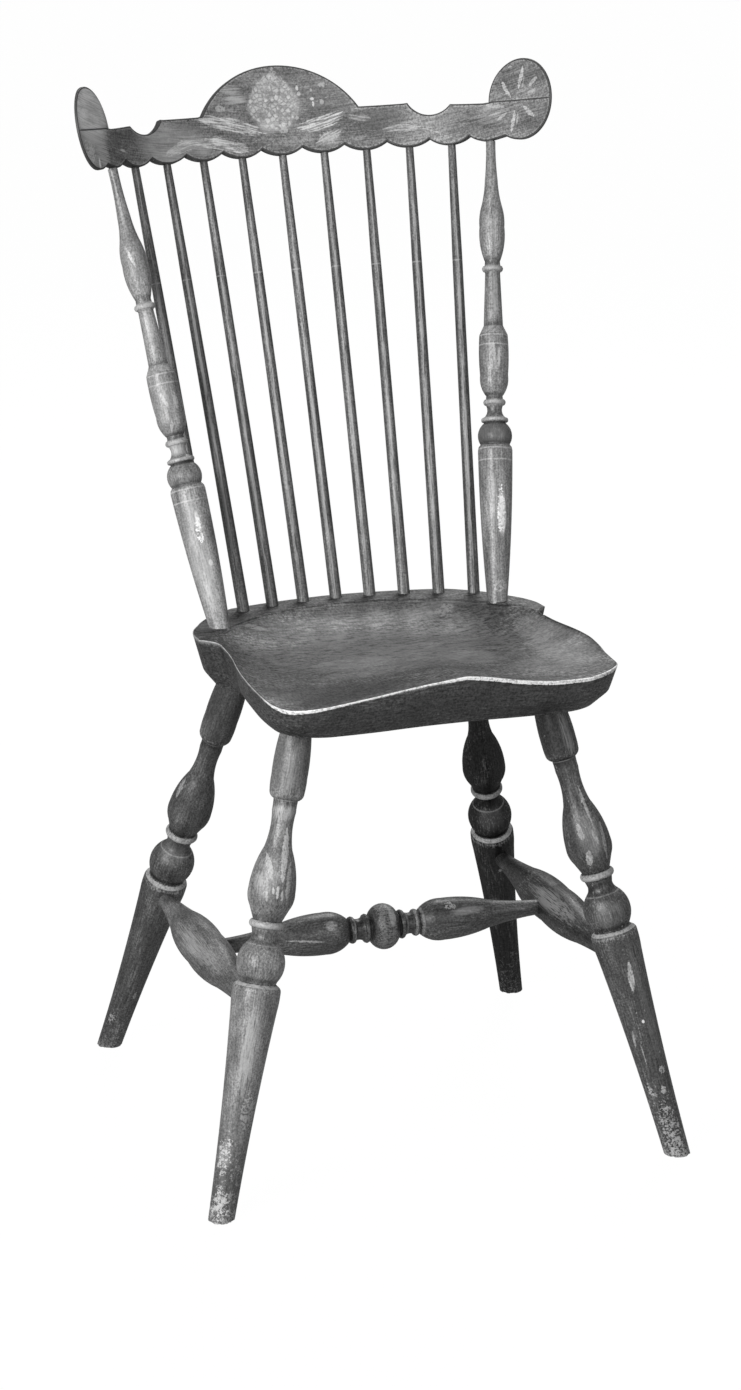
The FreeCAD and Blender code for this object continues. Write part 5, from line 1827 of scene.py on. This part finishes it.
SEAT_MARKS = (
    # The first smudge, dark over the saddle's front left, is painted shade.
    Smudge(-90, -178, 70, 42, 0.65, 0.03), Smudge(100, 30, 26, 40, 0.6, 0.025),
    Smudge(-50, -80, 40, 30, 0.3, 0.4), Smudge(-30, -122, 60, 20, 0.22, 0.4),
    Smudge(-36, 26, 24, 30, 0.15, 0.4), Chips(86, 52, 14, 12, 0.35, 0.3), Smudge(80, 60, 26, 14, 0.2, 0.4),
    Smudge(90, -32, 30, 26, 0.15, 0.4), Smudge(60, -100, 26, 34, 0.3, 0.45),
    Smudge(140, -40, 16, 40, 0.3, 0.4), Smudge(140, -110, 26, 70, 0.4, 0.4),
    Smudge(20, -60, 70, 50, 0.2, 0.4), Smudge(110, -160, 36, 34, 0.25, 0.4),
    Smudge(-140, 52, 24, 22, 0.4, 0.4), Scratches(-100, 48, 14, 5, 0.25), Chips(140, 40, 16, 8, 0.4, 0.4),
    Smudge(0, 60, 90, 14, 0.15, 0.4), Scratches(0, -30, 150, 110, 0.5, 0.2))


# The studio

@dataclass
class Studio:
    """A plain white floor, soft lamps and the camera; places in metres and powers in watts."""

    floor_half: float = 40.0
    floor_tone: float = 0.15
    floor_glow: float = 1.1
    floor_white: float = 0.9
    sky_light: float = 0.13
    lens: float = 87.61
    sensor: float = 36.0
    camera_place: tuple[float, float, float] = (-0.9219, -2.8640, 1.2619)
    camera_axes: tuple[tuple[float, float, float], ...] = (
        (0.950082, 0.098982, -0.295885), (-0.311735, 0.261971, -0.913341), (-0.012891, 0.959986, 0.279750))
    aim: tuple[float, float, float] = (0.0, 0.0, 0.5)
    lamps: tuple[tuple[str, tuple[float, float, float], float, float], ...] = (
        ("key_lamp", (-2.9, -2.3, 1.75), 1.9, 190.0), ("fill_lamp", (1.6, -3.0, 1.4), 0.9, 26.0),
        ("back_lamp", (1.4, 2.6, 2.9), 1.4, 105.0))

    def white(self) -> bpy.types.Material:
        """Make the floor white to the camera, with the chair's shadow kept.

        Returns:
            The floor's finish.
        """
        tree = Shading(bpy.data.materials.new("studio_floor_white"))
        plain = tree.node("ShaderNodeBsdfDiffuse", None, {"Color": (*[self.floor_tone] * 3, 1.0)})
        glow = tree.node("ShaderNodeEmission", None,
                         {"Color": (1.0, 1.0, 1.0, 1.0), "Strength": self.floor_glow})
        both = tree.node("ShaderNodeMixShader", None,
                         {0: tree.seen() * self.floor_white, 1: plain.outputs[0], 2: glow.outputs[0]})
        tree.node("ShaderNodeOutputMaterial", None, {"Surface": both.outputs[0]})
        return tree.owner

    def floor(self) -> None:
        """Lay the floor."""
        mesh = bmesh.new()
        bmesh.ops.create_grid(mesh, x_segments=1, y_segments=1, size=self.floor_half)
        data = bpy.data.meshes.new("studio_floor")
        mesh.to_mesh(data)
        mesh.free()
        data.materials.append(self.white())
        place_object("studio_floor", data)

    def lamp(self, name: str, place: Sequence[float], size: float, power: float) -> None:
        """Hang a soft square lamp that faces the middle of the chair.

        Args:
            name: Name of the lamp.
            place: Where it hangs, in metres.
            size: Its side.
            power: Its power in watts.
        """
        light = bpy.data.lights.new(name, "AREA")
        light.shape, light.size, light.energy = "SQUARE", size, power
        lamp = place_object(name, light)
        lamp.location = place
        lamp.rotation_euler = (Vector(self.aim) - Vector(place)).to_track_quat("-Z", "Y").to_euler()

    def world(self) -> None:
        """Light the scene evenly and show white to the camera and in reflections."""
        bpy.context.scene.world = bpy.data.worlds.new("studio_world")
        tree = Shading(bpy.context.scene.world)
        strength = tree.value("ShaderNodeMapRange", None, {0: tree.seen(), 3: self.sky_light, 4: 1.0})
        sky = tree.node("ShaderNodeBackground", None, {0: (1.0, 1.0, 1.0, 1.0), 1: strength})
        tree.node("ShaderNodeOutputWorld", None, {0: sky.outputs[0]})

    def camera(self) -> None:
        """Stand the camera where the photograph's was."""
        data = bpy.data.cameras.new("photo_camera")
        data.sensor_fit, data.sensor_height, data.lens = "VERTICAL", self.sensor, self.lens
        camera = place_object("photo_camera", data)
        camera.matrix_world = Matrix.Translation(self.camera_place) @ Matrix(self.camera_axes).to_4x4()
        bpy.context.scene.camera = camera

    def build(self) -> None:
        """Set the whole studio up."""
        bpy.context.scene.view_settings.view_transform = "Standard"
        self.floor()
        self.world()
        for lamp in self.lamps:
            self.lamp(*lamp)
        self.camera()


def main() -> None:
    """Build the chair and its studio."""
    logging.basicConfig(level=logging.INFO, format="%(message)s")
    seat_paint = SeatPaint("seat_worn_paint", tone=0.044, varnish=0.3, grain=(0.09, 0.32, 0.7),
                           specks=(0.5, 0.2, 0.5), seed=3.0, clouds=(0.012, 0.03, 0.03), marks=SEAT_MARKS)
    crest_paint = CrestPaint("crest_worn_paint", tone=0.145, varnish=0.3, grain=(0.035, 0.9, 0.9),
                             clouds=(0.02, 0.05, 0.05), marks=CREST_WEAR_AND_LIGHT_MARKS + LEAVES + PINWHEEL)
    crest = CrestRail()
    for part, pieces in (("seat", [SaddleSeat().build(seat_paint)]),
                         ("undercarriage", Undercarriage().build()),
                         ("back", SpindleBack(crest).build()), ("crest", crest.build(crest_paint))):
        log.info("%s: %s", part, ", ".join(piece.name for piece in pieces))
    Studio().build()


if __name__ == "__main__":
    main()
